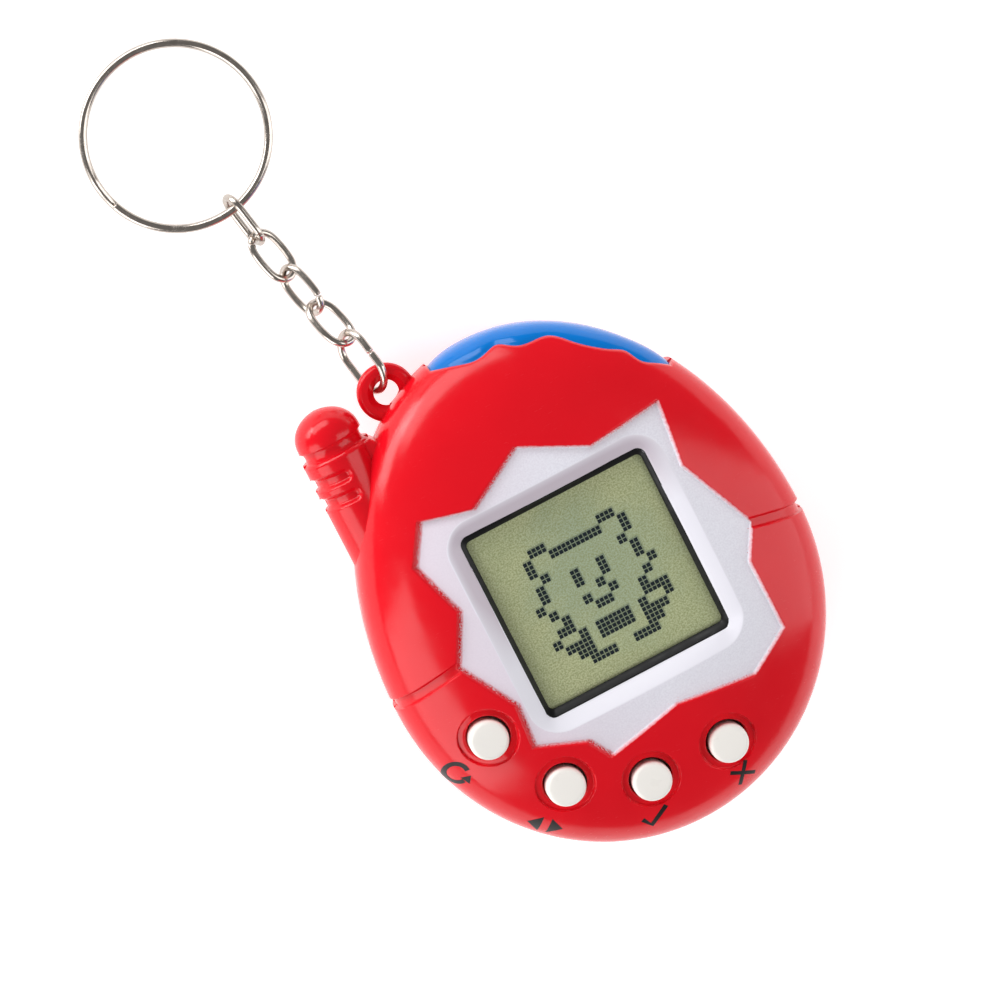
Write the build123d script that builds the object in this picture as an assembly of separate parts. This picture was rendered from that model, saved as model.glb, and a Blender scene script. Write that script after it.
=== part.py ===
from build123d import *
from functools import lru_cache
from math import cos, pi, radians, sin, sqrt
import os

# Virtual pet keychain: an egg-shaped game in two moulded shells, with an LCD, four push buttons,
# two button cells behind a screwed cover, a blue cap clamped between the shells, a dummy antenna,
# and a loop ear that holds a short chain and a split ring.
# Frame, in millimetres: the origin is the centre of the flat back, +X is to the right of the screen,
# +Y goes to the top of the egg, and +Z comes out of the screen. The egg lies on its back on z = 0.

# ---- driving dimensions: the egg
HALF_WIDTH = 25.0
WIDEST_Y = -3.7
TOP_LENGTH = 33.7
BOTTOM_LENGTH = 26.3
PARTING_Z = 9.5
FRONT_DEPTH = 10.0
REAR_DEPTH = 10.2
DOME_POWER = 2.6
WALL = 1.5
LIP_WALL = 0.8
LIP_HEIGHT = 0.8
FIT_GAP = 0.1

# ---- star-shaped recess round the screen, going clockwise from the upper right tip
STAR = [
    (15.4, 15.2), (14.5, 7.9), (18.6, -1.3), (16.4, -5.0), (16.6, -13.4), (11.3, -16.4),
    (2.0, -15.0), (-6.6, -16.9), (-8.2, -14.2), (-13.7, -12.1), (-13.3, -7.0), (-17.1, -0.5),
    (-14.2, 5.0), (-16.3, 11.3), (-13.6, 15.6), (-7.8, 14.3), (-0.8, 18.2), (6.4, 14.6),
]
STAR_DEPTH = 0.5
GROOVE_WIDTH = 1.1
GROOVE_DEPTH = 0.4
GROOVE_LOW_Z = 7.0
LEFT_GROOVE = ((-16.6, -0.4), (-27.0, -2.6))
RIGHT_GROOVE = ((18.0, -1.2), (28.0, -4.3))

# ---- screen
WINDOW_CENTRE = (0.5, 0.7)
WINDOW_SIZE = (22.6, 22.4)
WINDOW_CORNER = 1.0
WINDOW_EDGE_Z = 17.8
WINDOW_BEVEL = 2.0
WINDOW_LEDGE = 0.85
BEZEL_OPENING = (21.2, 20.7)
BEZEL_FLANGE = (24.0, 23.6)
BEZEL_FLANGE_THICKNESS = 0.5
BEZEL_SUNK = 0.12
LENS_THICKNESS = 0.4
LCD_SIZE = (23.6, 24.2)
LCD_THICKNESS = 2.2
LCD_STEP_SPARE = 1.0
ZEBRA_SIZE = (20.0, 1.8)
ZEBRA_INSET = 0.2
LCD_RIB = 0.8
LCD_RIB_BOTTOM_Z = 12.2

# ---- circuit board
BOARD_TOP_Z = 10.8
BOARD_THICKNESS = 1.0
BOARD_INSET = 3.0
BOARD_TOP_EDGE_Y = 13.8
BOARD_SCREW_GAP = 0.3
CHIP_RADIUS = 4.5
CHIP_HEIGHT = 1.3
CHIP_ROUNDING = 0.78
POST_RADIUS = 1.5
POSTS = [(-17.5, 5.0), (17.5, 5.0), (-11.0, -13.5), (13.0, -12.0)]

# ---- push buttons and their rubber mat
BUTTONS = {
    "reset": (-17.5, -9.1),
    "select": (-12.4, -17.7),
    "decide": (-3.8, -21.6),
    "cancel": (5.55, -21.9),
}
BUTTON_RADIUS = 2.2
BUTTON_PROUD = 0.65
BUTTON_EDGE = 0.35
BUTTON_GAP = 0.1
BUTTON_TRAVEL = 0.8
FLANGE_RADIUS = 3.0
FLANGE_THICKNESS = 0.8
GUIDE_WALL = 0.9
GUIDE_BOTTOM_Z = 13.9
DISH_RADIUS = 3.25
DISH_DEPTH = 0.45
MAT_THICKNESS = 0.6
MAT_PAD_RADIUS = 3.5
MAT_STRIP_WIDTH = 4.0
DOME_WALL = 0.6
DOME_FLARE = 0.4
DOME_TAPER = 0.3

# ---- top cap
CAP_EDGE = [
    (19.0, 17.4), (16.1, 19.6), (15.1, 21.3), (12.5, 23.1), (8.3, 26.7),
    (4.9, 27.3), (2.9, 28.4), (0.0, 28.0), (-4.8, 29.0),
]
CAP_END_RIGHT = (24.0, 18.6)
CAP_END_LEFT = (-5.4, 33.0)
CAP_FAR_CORNER = (30.0, 45.0)
CAP_SUNK = 0.25
CAP_FLANGE = 0.9
CAP_FLANGE_REACH = 1.5

# ---- antenna and loop ear
ANTENNA_X = -17.75
ANTENNA_RADIUS = 3.9
ANTENNA_ROOT_Y = 8.0
ANTENNA_NECK_Y = 25.5
ANTENNA_NECK_RADIUS = 3.3
ANTENNA_NECK_LENGTH = 1.2
ANTENNA_HEAD_RADIUS = 3.7
ANTENNA_SLOT_WIDTH = 1.3
ANTENNA_SLOT_DEPTH = 0.45
ANTENNA_SLOTS_Y = [20.8, 23.1]
ANTENNA_SLOT_END = 0.6
WEB_HALF_THICKNESS = 2.4
WEB = [(-15.0, 12.0), (-15.0, 25.2), (-13.9, 25.2), (-12.0, 23.0), (-8.0, 16.0)]
EAR_CENTRE = (-9.9, 28.45)
EAR_HOLE_RADIUS = 1.4
EAR_RADIUS = 3.25
EAR_THICKNESS = 1.5
EAR_EDGE = 0.7
EAR_ROOT = (-7.6, 23.5)

# ---- case screws
SCREW_PLACES = [(-14.0, 17.0), (14.0, 17.0), (0.0, -16.5)]
SCREW_RADIUS = 1.0
SCREW_HEAD_RADIUS = 1.9
SCREW_HEAD_HEIGHT = 1.3
SCREW_SEAT_Z = 5.0
SCREW_LENGTH = 8.0
SCREW_GAP = 0.03
BOSS_RADIUS = 2.7
COUNTERBORE_RADIUS = 2.1
DRIVER_SLOT_WIDTH = 0.5
DRIVER_SLOT_LENGTH = 2.2
DRIVER_SLOT_SHARE = 0.7

# ---- battery bay, cells and cover
CELL_RADIUS = 5.8
CELL_HEIGHT = 5.4
CELL_STEP = 0.5
CELL_POLE_INSET = 1.1
CELL_X = 6.2
CELL_Y = 1.0
CELL_GAP = 0.3
BAY_WALL = 0.9
CONTACT_THICKNESS = 0.3
CONTACT_NUB = 0.05
CONTACT_WIDTH = 5.0
CONTACT_LENGTH = 7.6
CONTACT_CORNER = 1.0
NUB_RADIUS = 1.2
TAB_WIDTH = 1.6
TAB_OFFSET_Y = 3.5
COVER_X = 14.2
COVER_Y = (-11.6, 8.8)
COVER_CORNER = 3.0
COVER_THICKNESS = 1.2
GRIP_ROWS_Y = [6.4, 5.0, 3.6]
GRIP_SIZE = (9.0, 0.6)
GRIP_DEPTH = 0.3
COVER_LEDGE = 1.0
COVER_LEDGE_MARGIN = 1.3
COVER_SCREW_PLACE = (0.0, -8.6)
COVER_SCREW_LENGTH = 4.6
COVER_SCREW_HEAD_HEIGHT = 0.7
COVER_SCREW_GAP = 0.08
COVER_BOSS_TOP_Z = 6.6
COVER_BOSS_CAP = 0.8

# ---- sounder
PIEZO_CENTRE = (0.0, 15.6)
PIEZO_RADIUS = 6.4
PIEZO_CERAMIC_RADIUS = 4.6
PIEZO_THICKNESS = 0.3
PIEZO_SEAT_Z = 3.7
PIEZO_RING_WALL = 1.0
SOUND_HOLE_RADIUS = 0.6
SOUND_HOLE_PITCH = 2.2
SOUND_HOLE_STEPS = (-1, 0, 1)

# ---- chain and split ring: each link leaves the one before by its heading (anticlockwise from +Y),
# its slope above the table and the roll of its flat side about its own length, in degrees
WIRE_RADIUS = 0.45
LINK_GAP = 0.12
EAR_LINK_GAP = 0.3
RING_LINK_GAP = 0.2
LINK_PITCH = 5.0
LINK_WIDTH = 3.45
EAR_LINK_PITCH = 5.6
EAR_LINK_WIDTH = 4.5
LINKS = [
    ("chain_link_5", 9.6, -22.0, -54.0),
    ("chain_link_4", 14.9, -25.0, 40.0),
    ("chain_link_3", 13.8, -22.0, -48.0),
    ("chain_link_2", 12.3, -3.0, 34.0),
    ("chain_link_1", 10.0, -1.0, -74.0),
]
EAR_HEADING = 11.5
RING_HEADING = 12.2
RING_SLOPE = -3.4
RING_WIRE_RADIUS = 0.475
RING_COIL_RADIUS = 10.05
RING_COIL_GAP = 0.03
RING_BRIDGE_LENGTH = 2.4

# ---- reach of the cutting shapes: a plate larger than the egg, and how far a cut starts outside it
PLATE = 60.0
CLEAR = 1.0
PROFILE_STEPS = 8


def superellipse_profile(half_width, depth):
    """Half section of a dome: an outline that starts level at the middle and ends upright at the rim."""
    points = []
    for i in range(PROFILE_STEPS + 1):
        turn = 0.5 * pi * i / PROFILE_STEPS
        points.append((half_width * sin(turn) ** (2 / DOME_POWER), 0,
                       depth * cos(turn) ** (2 / DOME_POWER)))
    curve = Spline(*points, tangents=[(1, 0, 0), (0, 0, -1)])
    lines = [curve, Line((half_width, 0, 0), (0, 0, 0)), Line((0, 0, 0), (0, 0, depth))]
    return make_face(lines)


@lru_cache(maxsize=None)
def dome(inset, depth):
    """One side of the egg as a solid on the parting plane, smaller all round by the inset."""
    half_width = HALF_WIDTH - inset
    profile = superellipse_profile(half_width, depth - inset)
    half = revolve(profile, Axis.Z, 180)
    upper = scale(half, by=(1, (TOP_LENGTH - inset) / half_width, 1))
    lower = scale(mirror(half, Plane.XZ), by=(1, (BOTTOM_LENGTH - inset) / half_width, 1))
    return Pos(0, WIDEST_Y, 0) * (upper + lower)


@lru_cache(maxsize=None)
def front_dome(inset):
    return Pos(0, 0, PARTING_Z) * dome(inset, FRONT_DEPTH)


@lru_cache(maxsize=None)
def rear_dome(inset, floor_z):
    """The back of the egg, cut off flat at a floor level."""
    whole = Pos(0, 0, PARTING_Z) * mirror(dome(inset, REAR_DEPTH), Plane.XY)
    return whole - Pos(0, 0, floor_z - PLATE / 2) * Box(2 * PLATE, 2 * PLATE, PLATE)


def egg_outline(inset):
    """Flat outline of the egg at the parting plane: two half ellipses that share their widest line."""
    half_width = HALF_WIDTH - inset
    upper = Ellipse(half_width, TOP_LENGTH - inset)
    lower = Ellipse(half_width, BOTTOM_LENGTH - inset)
    keep_up = Pos(0, PLATE / 2) * Rectangle(2 * PLATE, PLATE)
    keep_down = Pos(0, -PLATE / 2) * Rectangle(2 * PLATE, PLATE)
    return Pos(0, WIDEST_Y) * ((upper & keep_up) + (lower & keep_down))


def slab(flat, low_z, high_z):
    """A flat outline raised from one level to another."""
    return Pos(0, 0, low_z) * extrude(flat, high_z - low_z)


def cylinder_between(place, radius, low_z, high_z):
    return slab(Pos(place[0], place[1]) * Circle(radius), low_z, high_z)


def rounded_rectangle(centre, size, corner):
    return Pos(centre[0], centre[1]) * RectangleRounded(size[0], size[1], corner)


def frame_slab(centre, outer, inner, low_z, high_z):
    """A rectangular picture frame between two levels."""
    flat = Pos(centre[0], centre[1]) * (Rectangle(*outer) - Rectangle(*inner))
    return slab(flat, low_z, high_z)


def front_height(place):
    """Height of the front dome over a place on the plan."""
    length = TOP_LENGTH if place[1] > WIDEST_Y else BOTTOM_LENGTH
    share = sqrt((place[0] / HALF_WIDTH) ** 2 + ((place[1] - WIDEST_Y) / length) ** 2)
    return PARTING_Z + FRONT_DEPTH * (1 - share ** DOME_POWER) ** (1 / DOME_POWER)


def groove_tool():
    """Two narrow bars along the lines between the upper and lower front panels."""
    tool = None
    for start, end in (LEFT_GROOVE, RIGHT_GROOVE):
        line = Line(start, end)
        middle = line @ 0.5
        bar = Rectangle(line.length, GROOVE_WIDTH)
        flat = Pos(middle.X, middle.Y) * Rot(0, 0, degrees_of(start, end)) * bar
        piece = slab(flat, GROOVE_LOW_Z, PLATE / 2)
        tool = piece if tool is None else tool + piece
    return tool


def degrees_of(start, end):
    """Direction of a line on the plan, in degrees from +X."""
    return Vector(end[0] - start[0], end[1] - start[1]).get_signed_angle(Vector(1, 0), Vector(0, 0, -1))


def cap_region(pull_in):
    """Everything on the plan beyond the wavy edge of the top cap, the edge pulled towards the middle."""
    share = 1 - pull_in / TOP_LENGTH
    edge = []
    for x, y in CAP_EDGE:
        edge.append((x * share, WIDEST_Y + (y - WIDEST_Y) * share))
    wave = Spline(*edge)
    far = Polyline(edge[-1], CAP_END_LEFT, CAP_FAR_CORNER, CAP_END_RIGHT, edge[0])
    return slab(make_face([wave, far]), -CLEAR, PLATE / 2)


def antenna_round():
    """Dummy antenna: a plain barrel with a neck and a domed head, lying along +Y."""
    head_y = ANTENNA_NECK_Y + ANTENNA_NECK_LENGTH
    outline = [
        Line((0, ANTENNA_ROOT_Y), (ANTENNA_RADIUS, ANTENNA_ROOT_Y)),
        Line((ANTENNA_RADIUS, ANTENNA_ROOT_Y), (ANTENNA_RADIUS, ANTENNA_NECK_Y)),
        Line((ANTENNA_RADIUS, ANTENNA_NECK_Y), (ANTENNA_NECK_RADIUS, ANTENNA_NECK_Y)),
        Line((ANTENNA_NECK_RADIUS, ANTENNA_NECK_Y), (ANTENNA_NECK_RADIUS, head_y)),
        Line((ANTENNA_NECK_RADIUS, head_y), (ANTENNA_HEAD_RADIUS, head_y)),
        RadiusArc((ANTENNA_HEAD_RADIUS, head_y), (0, head_y + ANTENNA_HEAD_RADIUS), -ANTENNA_HEAD_RADIUS),
        Line((0, head_y + ANTENNA_HEAD_RADIUS), (0, ANTENNA_ROOT_Y)),
    ]
    barrel = revolve(make_face(outline), Axis.Y, 360)
    for y in ANTENNA_SLOTS_Y:
        ring = Pos(0, y, 0) * Rot(90, 0, 0) * (
            Cylinder(ANTENNA_RADIUS + CLEAR, ANTENNA_SLOT_WIDTH)
            - Cylinder(ANTENNA_RADIUS - ANTENNA_SLOT_DEPTH, ANTENNA_SLOT_WIDTH))
        outer_side = Pos(ANTENNA_SLOT_END - PLATE / 2, 0, 0) * Box(PLATE, PLATE, PLATE)
        barrel -= ring & outer_side
    return Pos(ANTENNA_X, 0, PARTING_Z) * barrel


def antenna_half(front):
    """The antenna and its web are split at the parting plane, half on each shell."""
    web = slab(make_face(Polyline(*WEB, close=True)), PARTING_Z - WEB_HALF_THICKNESS,
               PARTING_Z + WEB_HALF_THICKNESS)
    side = PLATE / 2 if front else -PLATE / 2
    keep = Pos(0, 0, PARTING_Z + side) * Box(2 * PLATE, 2 * PLATE, PLATE)
    return (antenna_round() + web) & keep


def ear():
    """Loop for the chain, its rounded rim level with the parting plane."""
    middle_z = PARTING_Z - EAR_THICKNESS / 2
    disc = Pos(EAR_CENTRE[0], EAR_CENTRE[1], middle_z) * Cylinder(EAR_RADIUS, EAR_THICKNESS)
    disc = fillet(disc.edges(), EAR_EDGE)
    root = Line(EAR_CENTRE, EAR_ROOT)
    middle = root @ 0.5
    neck = Pos(middle.X, middle.Y, middle_z) * Rot(0, 0, degrees_of(EAR_CENTRE, EAR_ROOT)) * Box(
        root.length, 2 * EAR_RADIUS - 2 * EAR_EDGE, EAR_THICKNESS)
    return disc + neck


def ear_hole():
    """The drilled way through the ear, with its mouths rounded off."""
    middle_z = PARTING_Z - EAR_THICKNESS / 2
    place = Pos(EAR_CENTRE[0], EAR_CENTRE[1], middle_z)
    hole = place * Cylinder(EAR_HOLE_RADIUS, 4 * EAR_THICKNESS)
    mouth_radius = EAR_HOLE_RADIUS + EAR_EDGE
    for side in (1, -1):
        cone = Cone(EAR_HOLE_RADIUS, mouth_radius, EAR_EDGE)
        if side < 0:
            cone = Rot(180, 0, 0) * cone
        hole += place * Pos(0, 0, side * (EAR_THICKNESS / 2 - EAR_EDGE / 2)) * cone
    return hole


def window_tool():
    """Bevel, opening and the pocket behind it that locates the bezel, lens and LCD."""
    inner = rounded_rectangle(WINDOW_CENTRE, WINDOW_SIZE, WINDOW_CORNER)
    wide = (WINDOW_SIZE[0] + 2 * WINDOW_BEVEL, WINDOW_SIZE[1] + 2 * WINDOW_BEVEL)
    rise = PARTING_Z + FRONT_DEPTH - WINDOW_EDGE_Z
    outer = rounded_rectangle(WINDOW_CENTRE, wide, WINDOW_CORNER + WINDOW_BEVEL)
    bevel = loft([Pos(0, 0, WINDOW_EDGE_Z) * inner, Pos(0, 0, WINDOW_EDGE_Z + rise) * outer])
    opening = slab(inner, BOARD_TOP_Z, WINDOW_EDGE_Z)
    pocket = slab(Pos(*WINDOW_CENTRE) * Rectangle(*pocket_size()), LCD_RIB_BOTTOM_Z - CLEAR, ledge_z())
    return bevel + opening + pocket


def pocket_size():
    """Room behind the window for the larger of the bezel flange and the LCD."""
    return (max(BEZEL_FLANGE[0], LCD_SIZE[0]) + 2 * FIT_GAP,
            max(BEZEL_FLANGE[1], LCD_SIZE[1]) + 2 * FIT_GAP)


def ledge_z():
    return WINDOW_EDGE_Z - WINDOW_LEDGE


def lens_bottom_z():
    return ledge_z() - BEZEL_FLANGE_THICKNESS - LENS_THICKNESS


def lcd_bottom_z():
    return lens_bottom_z() - LCD_THICKNESS


def button_hole_radius():
    return BUTTON_RADIUS + BUTTON_GAP


def front_ribs():
    """Inside the front shell: the frame round the LCD, the button guides and the screw bosses."""
    pocket = pocket_size()
    outer = (pocket[0] + 2 * LCD_RIB, pocket[1] + 2 * LCD_RIB)
    ribs = frame_slab(WINDOW_CENTRE, outer, pocket, LCD_RIB_BOTTOM_Z, PARTING_Z + FRONT_DEPTH)
    for place in BUTTONS.values():
        ribs += cylinder_between(place, button_hole_radius() + GUIDE_WALL, GUIDE_BOTTOM_Z,
                                 PARTING_Z + FRONT_DEPTH)
    for place in SCREW_PLACES:
        ribs += cylinder_between(place, BOSS_RADIUS, board_clear_z(place), PARTING_Z + FRONT_DEPTH)
    return ribs & front_dome(WALL / 2)


def board_clear_z(place):
    """A boss over the board starts just above it, and any other starts at the parting plane."""
    if place[1] < BOARD_TOP_EDGE_Y:
        return BOARD_TOP_Z + FIT_GAP
    return PARTING_Z + FIT_GAP / 2


def make_front_shell():
    shell = front_dome(0) + antenna_half(True)
    shell -= front_dome(WALL)
    shell += front_ribs()
    star = slab(make_face(Polyline(*STAR, close=True)), PARTING_Z, PLATE / 2)
    shell -= star & (front_dome(0) - front_dome(STAR_DEPTH))
    shell -= groove_tool() & (front_dome(-1) - front_dome(GROOVE_DEPTH))
    shell -= window_tool()
    for place in BUTTONS.values():
        surface_z = front_height(place)
        shell -= cylinder_between(place, DISH_RADIUS, surface_z - DISH_DEPTH, PLATE / 2)
        shell -= cylinder_between(place, button_hole_radius(), PARTING_Z, PLATE / 2)
    for place in SCREW_PLACES:
        shell -= cylinder_between(place, SCREW_RADIUS + SCREW_GAP, PARTING_Z,
                                  SCREW_SEAT_Z + SCREW_LENGTH + FIT_GAP)
    shell -= cap_region(FIT_GAP)
    shell -= cap_flange_room()
    return shell


def cap_flange_room():
    """Room in the ribs and lips for the flange of the top cap."""
    band = front_dome(WALL) + rear_dome(WALL, WALL)
    core = front_dome(WALL + CAP_FLANGE + 2 * FIT_GAP) + rear_dome(WALL + CAP_FLANGE + 2 * FIT_GAP, WALL)
    return cap_region(CAP_FLANGE_REACH + 2 * FIT_GAP) & (band - core)


def make_top_cap():
    body = front_dome(CAP_SUNK) + rear_dome(CAP_SUNK, 0)
    hollow = front_dome(WALL + FIT_GAP) + rear_dome(WALL + FIT_GAP, WALL + FIT_GAP)
    band = (body - hollow) & cap_region(0)
    flange_out = front_dome(WALL + FIT_GAP) + rear_dome(WALL + FIT_GAP, WALL + FIT_GAP)
    flange_in = (front_dome(WALL + FIT_GAP + CAP_FLANGE)
                 + rear_dome(WALL + FIT_GAP + CAP_FLANGE, WALL + FIT_GAP + CAP_FLANGE))
    flange = (flange_out - flange_in) & cap_region(CAP_FLANGE_REACH)
    return band + flange


def cover_flat(grow):
    """Outline of the battery cover on the back, larger all round by a gap."""
    middle = (0, (COVER_Y[0] + COVER_Y[1]) / 2)
    size = (2 * COVER_X + 2 * grow, COVER_Y[1] - COVER_Y[0] + 2 * grow)
    return rounded_rectangle(middle, size, COVER_CORNER + grow)


def cell_bottom_z():
    return COVER_THICKNESS + CONTACT_THICKNESS + CONTACT_NUB


def bay_top_z():
    return cell_bottom_z() + CELL_HEIGHT + CONTACT_NUB + CONTACT_THICKNESS


def bay_size():
    return (2 * (CELL_X + CELL_RADIUS + CELL_GAP), 2 * (CELL_RADIUS + CELL_GAP))


def rear_ribs():
    """Inside the rear shell: the battery bay, screw bosses, board posts and sounder ring."""
    bay = bay_size()
    outer = (bay[0] + 2 * BAY_WALL, bay[1] + 2 * BAY_WALL)
    ribs = slab(Pos(0, CELL_Y) * Rectangle(*outer), 0, bay_top_z() + BAY_WALL)
    ribs += slab(cover_flat(COVER_LEDGE_MARGIN), 0, COVER_THICKNESS + COVER_LEDGE)
    for place in SCREW_PLACES:
        top_z = board_bottom_z() - FIT_GAP if place[1] < BOARD_TOP_EDGE_Y else PARTING_Z - FIT_GAP / 2
        ribs += cylinder_between(place, BOSS_RADIUS, 0, top_z)
    ribs += cylinder_between(COVER_SCREW_PLACE, BOSS_RADIUS, 0, COVER_BOSS_TOP_Z)
    for place in POSTS:
        ribs += cylinder_between(place, POST_RADIUS, 0, board_bottom_z())
    ring = Circle(PIEZO_RADIUS + FIT_GAP) - Circle(PIEZO_RADIUS - PIEZO_RING_WALL)
    ribs += slab(Pos(*PIEZO_CENTRE) * ring, 0, PIEZO_SEAT_Z)
    lip = egg_outline(WALL + FIT_GAP) - egg_outline(WALL + FIT_GAP + LIP_WALL)
    lip = slab(lip, PARTING_Z - 2 * LIP_HEIGHT, PARTING_Z + LIP_HEIGHT)
    for place in SCREW_PLACES:
        lip -= cylinder_between(place, BOSS_RADIUS + 2 * FIT_GAP, PARTING_Z - LIP_HEIGHT, PLATE)
    lip -= cap_region(CAP_FLANGE_REACH + 2 * LIP_WALL)
    inside = rear_dome(WALL / 2, WALL / 2) + slab(egg_outline(WALL + FIT_GAP), PARTING_Z, PLATE)
    return (ribs + lip) & inside


def board_bottom_z():
    return BOARD_TOP_Z - BOARD_THICKNESS


def make_rear_shell():
    shell = rear_dome(0, 0) - rear_dome(WALL, WALL)
    outside = antenna_half(False) + ear()
    shell += outside - rear_dome(WALL, WALL) - slab(egg_outline(WALL), PARTING_Z - CLEAR, PLATE)
    shell += rear_ribs()
    shell -= ear_hole()
    shell -= slab(cover_flat(FIT_GAP), -CLEAR, COVER_THICKNESS)
    bay = bay_size()
    shell -= slab(Pos(0, CELL_Y) * Rectangle(*bay), -CLEAR, bay_top_z())
    shell -= cylinder_between(COVER_SCREW_PLACE, SCREW_RADIUS + COVER_SCREW_GAP, -CLEAR,
                              COVER_BOSS_TOP_Z - COVER_BOSS_CAP)
    for place in SCREW_PLACES:
        shell -= cylinder_between(place, COUNTERBORE_RADIUS, -CLEAR, SCREW_SEAT_Z)
        shell -= cylinder_between(place, SCREW_RADIUS + SCREW_GAP, -CLEAR, PARTING_Z + CLEAR)
    for column in SOUND_HOLE_STEPS:
        for row in SOUND_HOLE_STEPS:
            place = (PIEZO_CENTRE[0] + column * SOUND_HOLE_PITCH, PIEZO_CENTRE[1] + row * SOUND_HOLE_PITCH)
            shell -= cylinder_between(place, SOUND_HOLE_RADIUS, -CLEAR, PIEZO_SEAT_Z - CLEAR)
    for side in (-1, 1):
        shell -= slab(contact_tab_flat(side, FIT_GAP), bay_top_z() - CLEAR, bay_top_z() + BAY_WALL + CLEAR)
    shell -= groove_tool() & (rear_dome(-1, 0) - rear_dome(GROOVE_DEPTH, 0))
    shell -= cap_region(FIT_GAP)
    shell -= cap_flange_room()
    return shell


def make_bezel():
    """Black frame: a collar that fills the edge of the opening, and a flange behind the shell."""
    collar_size = (WINDOW_SIZE[0] - FIT_GAP, WINDOW_SIZE[1] - FIT_GAP)
    collar = slab(rounded_rectangle(WINDOW_CENTRE, collar_size, WINDOW_CORNER),
                  ledge_z() - BEZEL_FLANGE_THICKNESS, WINDOW_EDGE_Z - BEZEL_SUNK)
    flange = slab(Pos(*WINDOW_CENTRE) * Rectangle(*BEZEL_FLANGE), ledge_z() - BEZEL_FLANGE_THICKNESS,
                  ledge_z())
    hole = slab(Pos(*WINDOW_CENTRE) * Rectangle(*BEZEL_OPENING), 0, PLATE)
    return collar + flange - hole


def make_lens():
    flat = Pos(*WINDOW_CENTRE) * Rectangle(*BEZEL_FLANGE)
    return slab(flat, lens_bottom_z(), lens_bottom_z() + LENS_THICKNESS)


def make_lcd():
    """Two sheets of glass, the rear one longer at both ends for the contacts."""
    front_size = (LCD_SIZE[0], LCD_SIZE[1] - 2 * ZEBRA_SIZE[1] - LCD_STEP_SPARE)
    flat = Pos(*WINDOW_CENTRE) * Rectangle(*LCD_SIZE)
    front_flat = Pos(*WINDOW_CENTRE) * Rectangle(*front_size)
    sheet = LCD_THICKNESS / 2
    front = slab(flat, lcd_bottom_z() + sheet, lens_bottom_z())
    return front + slab(front_flat, lcd_bottom_z(), lcd_bottom_z() + sheet)


def make_zebra(side):
    """Rubber strip connector between the board and one end of the LCD."""
    y = WINDOW_CENTRE[1] + side * (LCD_SIZE[1] / 2 - ZEBRA_SIZE[1] / 2 - ZEBRA_INSET)
    flat = Pos(WINDOW_CENTRE[0], y) * Rectangle(*ZEBRA_SIZE)
    return slab(flat, BOARD_TOP_Z, lcd_bottom_z() + LCD_THICKNESS / 2)


def make_board():
    keep = Pos(0, BOARD_TOP_EDGE_Y - PLATE) * Rectangle(2 * PLATE, 2 * PLATE)
    flat = egg_outline(BOARD_INSET) & keep
    for place in SCREW_PLACES:
        if place[1] < BOARD_TOP_EDGE_Y:
            flat -= Pos(*place) * Circle(SCREW_RADIUS + BOARD_SCREW_GAP)
    return slab(flat, board_bottom_z(), BOARD_TOP_Z)


def make_chip():
    """Blob of black resin over the bare chip."""
    blob = cylinder_between((WINDOW_CENTRE[0], WINDOW_CENTRE[1]), CHIP_RADIUS, BOARD_TOP_Z,
                            BOARD_TOP_Z + CHIP_HEIGHT)
    top = blob.edges().sort_by(Axis.Z)[-1]
    return fillet(top, CHIP_ROUNDING)


def mat_flat():
    """Outline of the rubber mat: a pad under each button, joined by strips."""
    places = list(BUTTONS.values())
    flat = None
    for place in places:
        pad = Pos(*place) * Circle(MAT_PAD_RADIUS)
        flat = pad if flat is None else flat + pad
    for start, end in zip(places, places[1:]):
        line = Line(start, end)
        middle = line @ 0.5
        strip = Rectangle(line.length, MAT_STRIP_WIDTH)
        flat += Pos(middle.X, middle.Y) * Rot(0, 0, degrees_of(start, end)) * strip
    return flat


def flange_bottom_z():
    return GUIDE_BOTTOM_Z - FLANGE_THICKNESS


def make_keypad_mat():
    """Silicone mat with a hollow collapsing dome under each button."""
    mat = slab(mat_flat(), BOARD_TOP_Z, BOARD_TOP_Z + MAT_THICKNESS)
    base_z = BOARD_TOP_Z + MAT_THICKNESS
    rise = flange_bottom_z() - base_z
    for x, y in BUTTONS.values():
        place = Pos(x, y, base_z + rise / 2)
        foot = BUTTON_RADIUS + DOME_FLARE
        crown = BUTTON_RADIUS - DOME_TAPER
        mat += place * Cone(foot, crown, rise)
        hollow = rise - DOME_WALL + MAT_THICKNESS
        low = Pos(x, y, BOARD_TOP_Z + hollow / 2)
        mat -= low * Cone(foot - DOME_WALL, crown - DOME_WALL, hollow)
    return mat


def make_button(place):
    top_z = front_height(place) + BUTTON_PROUD
    cap = cylinder_between(place, BUTTON_RADIUS, flange_bottom_z(), top_z)
    cap = fillet(cap.edges().sort_by(Axis.Z)[-1], BUTTON_EDGE)
    return cap + cylinder_between(place, FLANGE_RADIUS, flange_bottom_z(), GUIDE_BOTTOM_Z)


def screw(place, seat_z, length, head_height):
    """Self-tapping screw, its head towards the back, with a cross recess."""
    head = cylinder_between(place, SCREW_HEAD_RADIUS, seat_z - head_height, seat_z)
    shank = cylinder_between(place, SCREW_RADIUS, seat_z, seat_z + length)
    recess_z = seat_z - head_height + min(DRIVER_SLOT_WIDTH, head_height * DRIVER_SLOT_SHARE)
    bar = Rectangle(DRIVER_SLOT_LENGTH, DRIVER_SLOT_WIDTH)
    slot = bar + Rot(0, 0, 90) * bar
    return head + shank - slab(Pos(*place) * slot, seat_z - head_height - CLEAR, recess_z)


def make_case_screws():
    return Compound(children=[
        screw(place, SCREW_SEAT_Z, SCREW_LENGTH, SCREW_HEAD_HEIGHT) for place in SCREW_PLACES])


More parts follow.
